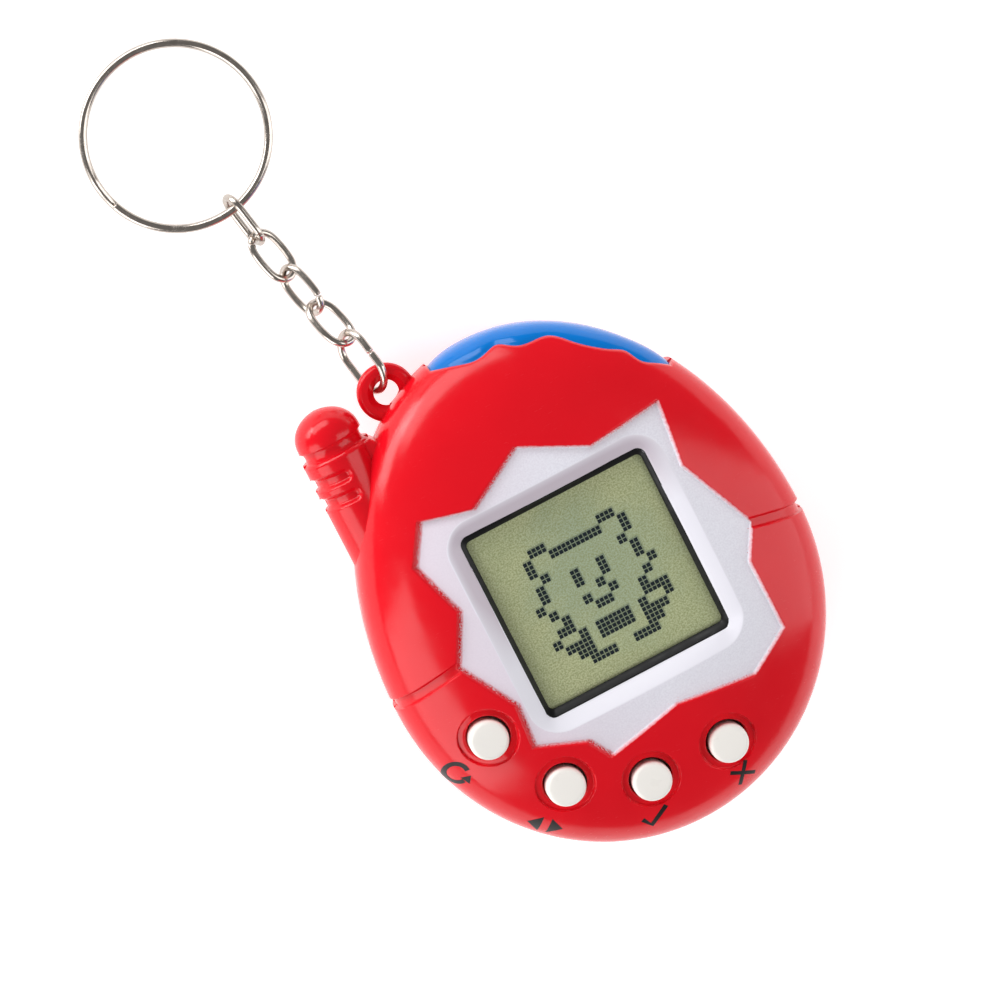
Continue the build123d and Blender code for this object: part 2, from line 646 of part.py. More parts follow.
def make_cover():
    """Battery cover: its back follows the egg, and its inner face is flat."""
    cover = slab(cover_flat(0), 0, COVER_THICKNESS) & rear_dome(0, 0)
    cover -= cylinder_between(COVER_SCREW_PLACE, SCREW_HEAD_RADIUS + 2 * FIT_GAP, -CLEAR,
                              COVER_SCREW_HEAD_HEIGHT)
    cover -= cylinder_between(COVER_SCREW_PLACE, SCREW_RADIUS + COVER_SCREW_GAP, -CLEAR,
                              COVER_THICKNESS + CLEAR)
    for y in GRIP_ROWS_Y:
        cover -= slab(Pos(0, y) * Rectangle(*GRIP_SIZE), -CLEAR, GRIP_DEPTH)
    return cover


def make_cover_screw():
    return screw(COVER_SCREW_PLACE, COVER_SCREW_HEAD_HEIGHT, COVER_SCREW_LENGTH, COVER_SCREW_HEAD_HEIGHT)


def make_cell(side):
    """Button cell, its smaller pole up on one side and down on the other."""
    place = (side * CELL_X, CELL_Y)
    low_z = cell_bottom_z()
    high_z = low_z + CELL_HEIGHT
    can = (low_z + CELL_STEP, high_z) if side > 0 else (low_z, high_z - CELL_STEP)
    pole = cylinder_between(place, CELL_RADIUS - CELL_POLE_INSET, low_z, high_z)
    return cylinder_between(place, CELL_RADIUS, *can) + pole


def make_bridge_contact():
    """Plate on the battery cover that joins the two cells in series."""
    flat = Pos(0, CELL_Y) * RectangleRounded(2 * CELL_X + CONTACT_WIDTH, CONTACT_WIDTH, CONTACT_CORNER)
    plate = slab(flat, COVER_THICKNESS, COVER_THICKNESS + CONTACT_THICKNESS)
    for side in (-1, 1):
        plate += cylinder_between((side * CELL_X, CELL_Y), NUB_RADIUS, COVER_THICKNESS, cell_bottom_z())
    return plate


def contact_tab_flat(side, grow):
    flat = Rectangle(TAB_WIDTH + 2 * grow, CONTACT_THICKNESS + 2 * grow)
    return Pos(side * CELL_X, CELL_Y + TAB_OFFSET_Y) * flat


def make_contact(side):
    """Sprung contact on the ceiling of the battery bay, with a tab soldered to the board."""
    top_z = bay_top_z()
    flat = Pos(side * CELL_X, CELL_Y) * Rectangle(CONTACT_WIDTH, CONTACT_LENGTH)
    plate = slab(flat, top_z - CONTACT_THICKNESS, top_z)
    nub_z = top_z - CONTACT_THICKNESS - CONTACT_NUB
    plate += cylinder_between((side * CELL_X, CELL_Y), NUB_RADIUS, nub_z, top_z)
    return plate + slab(contact_tab_flat(side, 0), top_z - CONTACT_THICKNESS, board_bottom_z())


def make_piezo():
    """Brass disc with a ceramic face."""
    disc = cylinder_between(PIEZO_CENTRE, PIEZO_RADIUS, PIEZO_SEAT_Z, PIEZO_SEAT_Z + PIEZO_THICKNESS)
    return disc + cylinder_between(PIEZO_CENTRE, PIEZO_CERAMIC_RADIUS, PIEZO_SEAT_Z + PIEZO_THICKNESS,
                                   PIEZO_SEAT_Z + 2 * PIEZO_THICKNESS)


def direction(heading, slope):
    """Unit vector from a heading (anticlockwise from +Y) and a slope above the table."""
    turn = radians(heading)
    rise = radians(slope)
    return Vector(-sin(turn) * cos(rise), cos(turn) * cos(rise), sin(rise))


def link_frame(origin, heading, slope, roll):
    """Frame on a link: its x axis is across the link and its y axis is along it."""
    along = direction(heading, slope)
    level = Vector(cos(radians(heading)), sin(radians(heading)), 0)
    across = level.rotate(Axis((0, 0, 0), tuple(along)), roll)
    return Plane(origin=origin, x_dir=across, z_dir=across.cross(along))


def link_solid(length, width):
    """Oval link of round wire, from its near end at the origin to its far end along +Y."""
    end_radius = width / 2
    straight = length - width
    side = end_radius
    path = Wire([
        Line((side, end_radius), (side, end_radius + straight)),
        ThreePointArc((side, end_radius + straight), (0, length), (-side, end_radius + straight)),
        Line((-side, end_radius + straight), (-side, end_radius)),
        ThreePointArc((-side, end_radius), (0, 0), (side, end_radius)),
    ])
    section = Plane(origin=(side, end_radius, 0), z_dir=(0, 1, 0)) * Circle(WIRE_RADIUS)
    return sweep(section, path)


def chain_pieces():
    """The links from the ear outwards, then the ring, each with the pivot it hangs on."""
    middle_z = PARTING_Z - EAR_THICKNESS / 2
    rim = (EAR_RADIUS + EAR_HOLE_RADIUS) / 2
    rim_half = (EAR_RADIUS - EAR_HOLE_RADIUS) / 2
    pivot = Vector(EAR_CENTRE[0], EAR_CENTRE[1], middle_z) + direction(EAR_HEADING, 0) * rim
    pivot_axis = Vector(cos(radians(EAR_HEADING)), sin(radians(EAR_HEADING)), 0)
    held_radius = rim_half
    pieces = []
    for name, heading, slope, roll in LINKS:
        first = name == LINKS[0][0]
        pitch = EAR_LINK_PITCH if first else LINK_PITCH
        width = EAR_LINK_WIDTH if first else LINK_WIDTH
        back = held_radius + WIRE_RADIUS + (EAR_LINK_GAP if first else LINK_GAP)
        along = direction(heading, slope)
        near_end = pivot - along * back
        place = link_frame(near_end, heading, slope, roll)
        pieces.append((name, place.location * link_solid(pitch + back, width), pivot, pivot_axis))
        pivot = near_end + along * (pitch + back)
        pivot_axis = place.x_dir
        held_radius = WIRE_RADIUS
    pieces.append(("key_ring", make_ring(pivot), pivot, pivot_axis))
    return pieces


def make_ring(pivot):
    """Split ring: two turns of wire, one on the other, joined by a short step."""
    offset = RING_WIRE_RADIUS + RING_COIL_GAP / 2
    link_end = LINK_WIDTH / 2
    room = link_end - WIRE_RADIUS - RING_LINK_GAP - RING_WIRE_RADIUS
    reach = link_end - sqrt(room ** 2 - offset ** 2)
    along = direction(RING_HEADING, RING_SLOPE)
    across = Vector(cos(radians(RING_HEADING)), sin(radians(RING_HEADING)), 0)
    centre = pivot + along * (RING_COIL_RADIUS - reach)
    place = Plane(origin=centre, x_dir=across, z_dir=across.cross(along))
    upper = Pos(0, 0, offset) * Torus(RING_COIL_RADIUS, RING_WIRE_RADIUS)
    lower = Pos(0, 0, -offset) * Torus(RING_COIL_RADIUS, RING_WIRE_RADIUS)
    bridge = Pos(-RING_COIL_RADIUS, 0, 0) * Box(RING_WIRE_RADIUS, RING_BRIDGE_LENGTH, 2 * offset)
    return place.location * (upper + lower + bridge)


def all_pieces():
    """Every node of the object with its solid."""
    pieces = {
        "front_shell": make_front_shell(),
        "rear_shell": make_rear_shell(),
        "top_cap": make_top_cap(),
        "screen_bezel": make_bezel(),
        "window_lens": make_lens(),
        "lcd_panel": make_lcd(),
        "zebra_strip_upper": make_zebra(1),
        "zebra_strip_lower": make_zebra(-1),
        "circuit_board": make_board(),
        "chip_blob": make_chip(),
        "keypad_mat": make_keypad_mat(),
        "case_screws": make_case_screws(),
        "battery_cover": make_cover(),
        "battery_cover_screw": make_cover_screw(),
        "button_cell_left": make_cell(-1),
        "button_cell_right": make_cell(1),
        "cell_bridge_contact": make_bridge_contact(),
        "battery_contact_left": make_contact(-1),
        "battery_contact_right": make_contact(1),
        "piezo_sounder": make_piezo(),
    }
    for name, place in BUTTONS.items():
        pieces["button_" + name] = make_button(place)
    for name, solid, pivot, axis in chain_pieces():
        pieces[name] = solid
        print("pivot", name, pivot, axis)
    return pieces


os.makedirs("parts", exist_ok=True)
for node, solid in all_pieces().items():
    export_step(solid, "parts/" + node + ".step")
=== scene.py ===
import math

import bmesh
import bpy
import numpy as np
from mathutils import Matrix, Vector
from mathutils.geometry import delaunay_2d_cdt


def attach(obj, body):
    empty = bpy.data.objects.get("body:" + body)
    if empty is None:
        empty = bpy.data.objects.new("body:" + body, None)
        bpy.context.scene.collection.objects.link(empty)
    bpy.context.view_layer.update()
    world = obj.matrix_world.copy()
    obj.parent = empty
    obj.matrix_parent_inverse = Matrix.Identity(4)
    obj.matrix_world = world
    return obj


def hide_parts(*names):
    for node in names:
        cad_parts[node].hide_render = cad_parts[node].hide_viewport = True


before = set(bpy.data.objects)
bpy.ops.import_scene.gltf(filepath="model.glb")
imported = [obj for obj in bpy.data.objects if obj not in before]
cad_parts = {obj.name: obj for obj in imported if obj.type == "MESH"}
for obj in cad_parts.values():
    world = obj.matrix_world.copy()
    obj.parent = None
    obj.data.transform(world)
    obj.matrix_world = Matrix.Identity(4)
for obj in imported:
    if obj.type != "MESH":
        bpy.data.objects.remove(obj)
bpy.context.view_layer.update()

# Everything below is in millimetres until a mesh is made.
MM = 0.001

# ---- the egg, as in the CAD part
HALF_WIDTH = 25.0
WIDEST_Y = -3.7
TOP_LENGTH = 33.7
BOTTOM_LENGTH = 26.3
PARTING_Z = 9.5
FRONT_DEPTH = 10.0
REAR_DEPTH = 10.2
POWER = 2.6
WALL = 1.5
STAR = [
    (15.4, 15.2), (14.5, 7.9), (18.6, -1.3), (16.4, -5.0), (16.6, -13.4), (11.3, -16.4),
    (2.0, -15.0), (-6.6, -16.9), (-8.2, -14.2), (-13.7, -12.1), (-13.3, -7.0), (-17.1, -0.5),
    (-14.2, 5.0), (-16.3, 11.3), (-13.6, 15.6), (-7.8, 14.3), (-0.8, 18.2), (6.4, 14.6),
]
STAR_DEPTH = 0.5
PAINT_SHIFT = 0.35
UNPAINTED = 5.0
GROOVES = [((-16.6, -0.4), (-27.0, -2.6)), ((18.0, -1.2), (28.0, -4.3))]
GROOVE_WIDTH = 1.1
GROOVE_DEPTH = 0.4
WINDOW_CENTRE = (0.5, 0.7)
WINDOW_HALF = (11.3, 11.2)
WINDOW_CORNER = 1.0
WINDOW_BAND = 1.7
WINDOW_BAND_CORNER = 3.6
WINDOW_EDGE_Z = 17.45
WINDOW_LEAST_Z = 17.12
BAND_DEPTH = 0.95
BUTTONS = {
    "reset": (-17.5, -9.1),
    "select": (-12.4, -17.7),
    "decide": (-3.8, -21.6),
    "cancel": (5.55, -21.9),
}
BUTTON_RADIUS = 2.2
HOLE_RADIUS = 2.46
HOLE_SHIFT = 0.16
DISH_RADIUS = 3.25
DISH_DEPTH = 0.36
CAP_EDGE = [
    (24.0, 18.6), (19.0, 17.4), (16.1, 19.6), (15.1, 21.3), (12.5, 23.1), (8.3, 26.7),
    (4.9, 27.3), (2.9, 28.4), (0.0, 28.0), (-4.8, 29.0), (-5.4, 33.0),
]
CAP_SUNK = 0.25
CAP_GAP = 0.05
CAP_TUCK = 0.5
CAP_DIP = 0.32
ANTENNA_X = -17.75


# ---- small geometry
def unit(vectors):
    return vectors / np.maximum(np.linalg.norm(vectors, axis=-1, keepdims=True), 1e-12)


def ease(t):
    t = np.clip(t, 0.0, 1.0)
    return t * t * (3.0 - 2.0 * t)


def fall(distance, width):
    """1 well inside an outline, 0 well outside, easing across the width."""
    return 1.0 - ease(distance / width + 0.5)


def segment_distance(x, y, a, b):
    ax, ay = a
    bx, by = b
    dx, dy = bx - ax, by - ay
    t = np.clip(((x - ax) * dx + (y - ay) * dy) / max(dx * dx + dy * dy, 1e-12), 0.0, 1.0)
    return np.hypot(x - ax - t * dx, y - ay - t * dy)


def polyline_distance(x, y, points, closed):
    best = np.full(np.shape(x), 1e9)
    count = len(points) if closed else len(points) - 1
    for i in range(count):
        best = np.minimum(best, segment_distance(x, y, points[i], points[(i + 1) % len(points)]))
    return best


def inside(x, y, loop):
    hit = np.zeros(np.shape(x), bool)
    for i in range(len(loop)):
        ax, ay = loop[i]
        bx, by = loop[(i + 1) % len(loop)]
        if ay == by:
            continue
        hit ^= ((ay > y) != (by > y)) & (x < (bx - ax) * (y - ay) / (by - ay) + ax)
    return hit


def star_distance(x, y):
    away = polyline_distance(x, y, STAR, True)
    return np.where(inside(x, y, STAR), -away, away)


def window_distance(x, y, grow=0.0, corner=WINDOW_CORNER):
    """Distance outside the window opening, or outside a larger rounded rectangle round it."""
    qx = np.abs(x - WINDOW_CENTRE[0]) - WINDOW_HALF[0] - grow + corner
    qy = np.abs(y - WINDOW_CENTRE[1]) - WINDOW_HALF[1] - grow + corner
    out = np.hypot(np.maximum(qx, 0), np.maximum(qy, 0))
    return out + np.minimum(np.maximum(qx, qy), 0) - corner


def window_share(x, y):
    """0 at the edge of the opening, 1 at the outer line of the sloping band round it."""
    near = np.maximum(window_distance(x, y), 0)
    far = np.maximum(-window_distance(x, y, WINDOW_BAND, WINDOW_BAND_CORNER), 0)
    return near / np.maximum(near + far, 1e-9)


def groove_distance(x, y):
    best = np.full(np.shape(x), 1e9)
    for a, b in GROOVES:
        best = np.minimum(best, segment_distance(x, y, a, b))
    return best


def window_corners(half, corner, steps):
    """The four rounded corners of a loop round the window, one after the other."""
    points = []
    for k, (sx, sy) in enumerate(((1, 1), (-1, 1), (-1, -1), (1, -1))):
        for i in range(steps + 1):
            turn = math.pi / 2 * (k + i / steps)
            points.append((WINDOW_CENTRE[0] + sx * (half[0] - corner) + corner * math.cos(turn),
                           WINDOW_CENTRE[1] + sy * (half[1] - corner) + corner * math.sin(turn)))
    return points


def resample(points, spacing, closed):
    """The same line with evenly spaced points that keep its corners when they are dense."""
    points = np.array(points, float)
    if closed:
        points = np.vstack([points, points[:1]])
    out = [points[0]]
    for a, b in zip(points[:-1], points[1:]):
        steps = max(int(np.ceil(np.linalg.norm(b - a) / spacing)), 1)
        for i in range(1, steps + 1):
            out.append(a + (b - a) * i / steps)
    return np.array(out[:-1] if closed else out)


def smooth_line(points, spacing):
    """Natural cubic spline through points, by chord length."""
    points = np.array(points, float)
    chord = np.concatenate([[0], np.cumsum(np.linalg.norm(np.diff(points, axis=0), axis=1))])
    n = len(points)
    gap = np.diff(chord)
    grid = np.zeros((n, n))
    right = np.zeros((n, 2))
    grid[0, 0] = grid[-1, -1] = 1.0
    for i in range(1, n - 1):
        grid[i, i - 1:i + 2] = gap[i - 1], 2 * (gap[i - 1] + gap[i]), gap[i]
        right[i] = 6 * ((points[i + 1] - points[i]) / gap[i] - (points[i] - points[i - 1]) / gap[i - 1])
    bend = np.linalg.solve(grid, right)
    out = []
    for at in np.linspace(0, chord[-1], int(chord[-1] / spacing) + 1):
        i = min(max(int(np.searchsorted(chord, at)) - 1, 0), n - 2)
        a, b, h = chord[i + 1] - at, at - chord[i], gap[i]
        out.append(bend[i] * a ** 3 / (6 * h) + bend[i + 1] * b ** 3 / (6 * h)
                   + (points[i] / h - bend[i] * h / 6) * a + (points[i + 1] / h - bend[i + 1] * h / 6) * b)
    return np.array(out)


class Side:
    """One side of the egg. A flat (u, v) that keeps the dome's own lengths gives place, level and normal."""

    def __init__(self, sign, depth, inset):
        self.sign = sign
        self.depth = depth - inset
        self.half = HALF_WIDTH - inset
        self.top = TOP_LENGTH - inset
        self.low = BOTTOM_LENGTH - inset
        turn = np.linspace(0, math.pi / 2, 6001)
        self.share = np.sin(turn) ** (2 / POWER)
        self.level = np.maximum(np.cos(turn), 0) ** (2 / POWER)
        self.level[-1] = 0.0
        step = np.hypot(np.diff(self.share) * self.half, np.diff(self.level) * self.depth)
        self.run = np.concatenate([[0], np.cumsum(step)])

    def lengths(self, v):
        return np.where(v > 0, self.top, self.low)

    def flat(self, plan):
        plan = np.asarray(plan, float)
        up = plan[:, 1] - WIDEST_Y
        length = self.lengths(up)
        x, y = plan[:, 0] / self.half, up / length
        share = np.maximum(np.hypot(x, y), 1e-9)
        factor = np.interp(share, self.share, self.run) / share
        return np.stack([factor * x, factor * y * length / self.half], 1)

    def rim(self, turns):
        length = self.lengths(np.sin(turns))
        return np.stack([self.run[-1] * np.cos(turns), self.run[-1] * np.sin(turns) * length / self.half], 1)

    def lift(self, flat):
        """Plan places, levels and outward normals on the plain dome."""
        length = self.lengths(flat[:, 1])
        a, b = flat[:, 0], flat[:, 1] * self.half / length
        run = np.minimum(np.hypot(a, b), self.run[-1])
        share = np.interp(run, self.run, self.share)
        level = np.interp(run, self.run, self.level)
        factor = share / np.maximum(run, 1e-9)
        x, up = a * factor * self.half, b * factor * length
        slope = share ** (POWER - 2)
        normal = np.stack([x / self.half ** 2 * slope, up / length ** 2 * slope,
                           self.sign * level ** (POWER - 1) / self.depth], 1)
        place = np.stack([x, up + WIDEST_Y, PARTING_Z + self.sign * self.depth * level], 1)
        return place, unit(normal), share


FRONT = Side(1, FRONT_DEPTH, 0.0)
CAP_FRONT = Side(1, FRONT_DEPTH, CAP_SUNK)
CAP_REAR = Side(-1, REAR_DEPTH, CAP_SUNK)


def front_height(place):
    length = TOP_LENGTH if place[1] > WIDEST_Y else BOTTOM_LENGTH
    share = math.hypot(place[0] / HALF_WIDTH, (place[1] - WIDEST_Y) / length)
    return PARTING_Z + FRONT_DEPTH * (1 - share ** POWER) ** (1 / POWER)


def scattered(spacing_at, low, high, coarse, fine):
    """Places on a grid that is split in four wherever the wanted spacing is smaller."""
    gx = np.arange(low[0], high[0], coarse) + coarse / 2
    gy = np.arange(low[1], high[1], coarse) + coarse / 2
    cells = np.stack(np.meshgrid(gx, gy), -1).reshape(-1, 2)
    size, kept = coarse, []
    while size > fine and len(cells):
        wanted = spacing_at(cells, size)
        split = wanted < size
        kept.append(cells[~split])
        quarter = size / 4
        cells = np.concatenate([cells[split] + np.array(o) * quarter
                                for o in ((-1, -1), (1, -1), (-1, 1), (1, 1))])
        size /= 2
    kept.append(cells)
    points = np.concatenate(kept)
    rng = np.random.default_rng(3)
    return points + rng.uniform(-0.02, 0.02, points.shape) * fine


def triangulated(points, outer, holes):
    """Triangles that fill an outer loop round its holes; the loops are kept as edges."""
    coords, edges = [], []
    for loop in [outer] + holes:
        start = len(coords)
        coords += [Vector((float(p[0]), float(p[1]))) for p in loop]
        edges += [(start + i, start + (i + 1) % len(loop)) for i in range(len(loop))]
    coords += [Vector((float(p[0]), float(p[1]))) for p in points]
    verts, _, faces, _, _, _ = delaunay_2d_cdt(coords, edges, [], 0, 1e-7, False)
    verts = np.array([(v[0], v[1]) for v in verts])
    faces = np.array(faces)
    middle = verts[faces].mean(1)
    keep = inside(middle[:, 0], middle[:, 1], outer)
    for hole in holes:
        keep &= ~inside(middle[:, 0], middle[:, 1], hole)
    faces = faces[keep]
    a, b, c = verts[faces[:, 0]], verts[faces[:, 1]], verts[faces[:, 2]]
    area = (b[:, 0] - a[:, 0]) * (c[:, 1] - a[:, 1]) - (b[:, 1] - a[:, 1]) * (c[:, 0] - a[:, 0])
    faces = faces[np.abs(area) > 1e-9]
    area = area[np.abs(area) > 1e-9]
    faces[area < 0] = faces[area < 0][:, ::-1]
    used = np.unique(faces)
    back = np.full(len(verts), -1)
    back[used] = np.arange(len(used))
    return verts[used], back[faces]


def clear_of(points, loops, least):
    """Drops places nearer than least to the loops, so that no thin triangles appear there."""
    away = np.full(len(points), 1e9)
    for loop in loops:
        away = np.minimum(away, polyline_distance(points[:, 0], points[:, 1], loop, True))
    return points[away > least]


def walled(outer, inner, faces):
    """A closed wall between two surfaces that share their triangles."""
    n = len(outer)
    count = {}
    for tri in faces:
        for i in range(3):
            a, b = int(tri[i]), int(tri[(i + 1) % 3])
            count[(a, b)] = count.get((a, b), 0) + 1
    rims = [(a, b) for (a, b) in count if (b, a) not in count]
    solid = [tuple(int(v) for v in t) for t in faces]
    solid += [(int(t[2]) + n, int(t[1]) + n, int(t[0]) + n) for t in faces]
    solid += [(b, a, a + n, b + n) for a, b in rims]
    return np.vstack([outer, inner]), solid


def joined(parts):
    """Several (vertices, faces, paint) as one."""
    verts, faces, paint = [], [], []
    start = 0
    for v, f, p in parts:
        verts.append(np.asarray(v, float))
        faces += [tuple(i + start for i in face) for face in f]
        paint.append(np.full((len(v), 2), p, float) if np.isscalar(p) else np.asarray(p, float))
        start += len(v)
    return np.vstack(verts), faces, np.concatenate(paint)


def placed(name, data):
    piece = bpy.data.objects.new(name, data)
    bpy.context.scene.collection.objects.link(piece)
    return piece


def mesh_object(name, verts, faces, material, body, nodes=(), slot=None, paint=None, sharp=50.0):
    """A mesh piece from millimetres, riding on a body and standing in for CAD nodes."""
    mesh = bpy.data.meshes.new(name)
    mesh.from_pydata((np.asarray(verts) * MM).tolist(), [], faces)
    mesh.update()
    for i, key in enumerate(("paint", "star") if paint is not None else ()):
        layer = mesh.attributes.new(key, "FLOAT", "POINT")
        layer.data.foreach_set("value", np.ascontiguousarray(paint[:, i], np.float32))
    mesh.polygons.foreach_set("use_smooth", [True] * len(mesh.polygons))
    mesh.set_sharp_from_angle(angle=math.radians(sharp))
    mesh.materials.append(material)
    piece = placed(name, mesh)
    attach(piece, body)
    if nodes:
        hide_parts(*nodes)


# ---- materials
def rgb(red, green, blue):
    values = []
    for value in (red, green, blue):
        value /= 255.0
        values.append(value / 12.92 if value <= 0.04045 else ((value + 0.055) / 1.055) ** 2.4)
    return (*values, 1.0)


class Look:
    """A procedural material being wired."""

    def __init__(self, name, colour, roughness, specular=0.5, metallic=0.0):
        self.material = bpy.data.materials.new(name)
        self.material.use_nodes = True
        self.tree = self.material.node_tree
        self.shader = self.tree.nodes["Principled BSDF"]
        self.shader.inputs["Base Color"].default_value = colour
        self.shader.inputs["Roughness"].default_value = roughness
        self.shader.inputs["Specular IOR Level"].default_value = specular
        self.shader.inputs["Metallic"].default_value = metallic
        self.place = self.node("TexCoord").outputs["Object"]

    def node(self, kind):
        return self.tree.nodes.new("ShaderNode" + kind)

    def link(self, source, target):
        self.tree.links.new(source, target)

    def stretched(self, scale, turn=0.0):
        node = self.node("Mapping")
        node.inputs["Scale"].default_value = scale
        node.inputs["Rotation"].default_value = (0.0, 0.0, turn)
        self.link(self.place, node.inputs["Vector"])
        return node.outputs[0]

    def noise(self, scale, detail=2.0, vector=None):
        node = self.node("TexNoise")
        node.inputs["Scale"].default_value = scale
        node.inputs["Detail"].default_value = detail
        self.link(vector or self.place, node.inputs["Vector"])
        return node.outputs[0]

    def cells(self, scale):
        node = self.node("TexVoronoi")
        node.inputs["Scale"].default_value = scale
        self.link(self.place, node.inputs["Vector"])
        return node.outputs["Distance"]

    def spread(self, source, low, high, to_low, to_high):
        node = self.node("MapRange")
        for key, value in zip(("From Min", "From Max", "To Min", "To Max"), (low, high, to_low, to_high)):
            node.inputs[key].default_value = value
        self.link(source, node.inputs["Value"])
        return node.outputs[0]

    def patches(self, scale, detail, to_low, to_high):
        """Soft uneven patches between two values."""
        return self.spread(self.noise(scale, detail), 0.3, 0.7, to_low, to_high)

    def math(self, kind, first, second):
        node = self.node("Math")
        node.operation = kind
        for socket, value in zip(node.inputs, (first, second)):
            if isinstance(value, (int, float)):
                socket.default_value = value
            else:
                self.link(value, socket)
        return node.outputs[0]

    def mix(self, share, first, second):
        node = self.node("Mix")
        node.data_type = "RGBA"
        self.link(share, node.inputs[0])
        for socket, value in zip((node.inputs[6], node.inputs[7]), (first, second)):
            if isinstance(value, tuple):
                socket.default_value = value
            else:
                self.link(value, socket)
        return node.outputs[2]

    def bump(self, height, strength, distance):
        node = self.node("Bump")
        node.inputs["Strength"].default_value = strength
        node.inputs["Distance"].default_value = distance
        self.link(height, node.inputs["Height"])
        return node.outputs[0]

    def colour(self, source):
        self.link(source, self.shader.inputs["Base Color"])

    def rough(self, source):
        self.link(source, self.shader.inputs["Roughness"])

    def normal(self, source):
        self.link(source, self.shader.inputs["Normal"])


def shaded(colour, share):
    return (*(min(c * share, 1.0) for c in colour[:3]), 1.0)


def plastic(name, colour, roughness, specular=0.3, grain=0.25, sheen_scale=260.0):
    """Moulded plastic: a faint orange peel, uneven gloss, hairline scuffs and a slight drift of colour."""
    look = Look(name, colour, roughness, specular)
    peel = look.noise(sheen_scale, 3.0)
    fine = look.noise(9000.0, 2.0)
    height = look.math("ADD", peel, look.math("MULTIPLY", fine, 0.12))
    look.normal(look.bump(height, grain, 0.00003))
    scuff = look.noise(900.0, 4.0, look.stretched((1.0, 14.0, 3.0), 0.6))
    scuff = look.spread(scuff, 0.60, 0.72, 0.0, 0.10)
    gloss = look.patches(420.0, 4.0, roughness * 0.8, roughness * 1.3)
    look.rough(look.math("ADD", gloss, scuff))
    drift = look.patches(90.0, 2.0, 0.0, 1.0)
    look.colour(look.mix(drift, shaded(colour, 0.97), shaded(colour, 1.03)))
    return look


def metal(name, colour, roughness):
    look = Look(name, colour, roughness, 0.5, 1.0)
    brushed = look.noise(1200.0, 3.0, look.stretched((1.0, 1.0, 6.0), 0.4))
    look.normal(look.bump(brushed, 0.25, 0.00002))
    look.rough(look.patches(1500.0, 4.0, roughness * 0.7, roughness * 1.6))
    tarnish = look.spread(look.noise(700.0, 5.0), 0.45, 0.75, 0.0, 1.0)
    look.colour(look.mix(tarnish, colour, shaded(colour, 0.82)))
    return look


def red_over_white():
    """The front shell: red plastic, with pearl white paint sprayed in the star through a mask. The pearl also
    carries painted shade: darker and pinker on the left side, and on the upper side of the window band.
    """
    red = RED_COLOUR
    look = plastic("front red and pearl", red, 0.17, RED_SPECULAR)
    layers = []
    for key in ("paint", "star"):
        attribute = look.node("Attribute")
        attribute.attribute_name = key
        layers.append(attribute.outputs["Fac"])
    wander = look.spread(look.noise(2500.0, 4.0), 0.25, 0.75, -0.05, 0.05)
    solid = look.spread(look.math("ADD", layers[0], wander), -0.24, 0.05, 1.0, 0.0)
    grain = look.noise(9000.0, 3.0)
    reach = look.spread(layers[0], 0.0, 0.75, 0.50, 0.72)
    spray = look.spread(look.math("SUBTRACT", grain, reach), 0.0, 0.05, 0.0, 0.9)
    spray = look.math("MULTIPLY", spray, look.spread(layers[1], -0.1, 0.05, 1.0, 0.0))
    reach = look.spread(layers[0], -0.9, 0.0, 0.76, 0.60)
    holes = look.spread(look.math("SUBTRACT", look.noise(8000.0, 3.0), reach), 0.0, 0.05, 1.0, 0.25)
    mask = look.math("MAXIMUM", look.math("MULTIPLY", solid, holes), spray)
    pearl_tone = look.spread(look.noise(5200.0, 5.0), 0.35, 0.65, 0.0, 1.0)
    pearl = look.mix(pearl_tone, rgb(231, 229, 239), rgb(240, 239, 248))
    # Painted shade: left of the shell's middle, the pearl is made darker and pinker.
    across = look.node("SeparateXYZ")
    look.link(look.place, across.inputs[0])
    left_painted_shade = look.spread(across.outputs[0], -0.015, 0.002, 0.75, 0.0)
    pearl = look.mix(left_painted_shade, pearl, rgb(226, 212, 224))
    band = look.spread(layers[1], -1.0, -0.6, 1.0, 0.0)
    pearl = look.mix(band, pearl, rgb(238, 236, 245))
    # Painted shade: the upper side of the window band is made darker and pinkish grey, as the star attribute
    # says below -1.
    band_top_painted_shade = look.spread(layers[1], -1.7, -1.0, 0.75, 0.0)
    pearl = look.mix(band_top_painted_shade, pearl, rgb(196, 180, 192))
    base = look.shader.inputs["Base Color"].links[0].from_socket
    look.colour(look.mix(mask, base, pearl))
    gloss = look.shader.inputs["Roughness"].links[0].from_socket
    satin = look.patches(3800.0, 4.0, 0.30, 0.46)
    rough = look.node("Mix")
    look.link(mask, rough.inputs[0])
    look.link(gloss, rough.inputs[2])
    look.link(satin, rough.inputs[3])
    look.rough(rough.outputs[0])
    return look.material


RED_COLOUR = rgb(226, 14, 30)
RED_SPECULAR = 0.34
RED = plastic("red plastic", RED_COLOUR, 0.17, RED_SPECULAR).material
BLUE = plastic("blue plastic", rgb(0, 118, 206), 0.13, 0.30).material
BLACK = plastic("black plastic", rgb(15, 15, 17), 0.4, 0.25).material
WHITE = plastic("white button plastic", rgb(250, 246, 240), 0.30, 0.4, 0.15).material
RUBBER = plastic("grey rubber", rgb(92, 94, 98), 0.7, 0.3, 0.5).material
RESIN = plastic("black resin", rgb(12, 12, 13), 0.25, 0.5, 0.6).material
FRONT_LOOK = red_over_white()
NICKEL = metal("nickel wire", rgb(200, 190, 181), 0.18).material
STEEL = metal("zinc plated steel", rgb(180, 182, 186), 0.26).material
BRASS = metal("brass", rgb(206, 170, 96), 0.25).material


def board_look():
    look = plastic("green board", rgb(24, 84, 48), 0.35, 0.4)
    track = look.spread(look.cells(650.0), 0.05, 0.12, 1.0, 0.0)
    base = look.shader.inputs["Base Color"].links[0].from_socket
    look.colour(look.mix(track, base, rgb(170, 150, 70)))
    return look.material


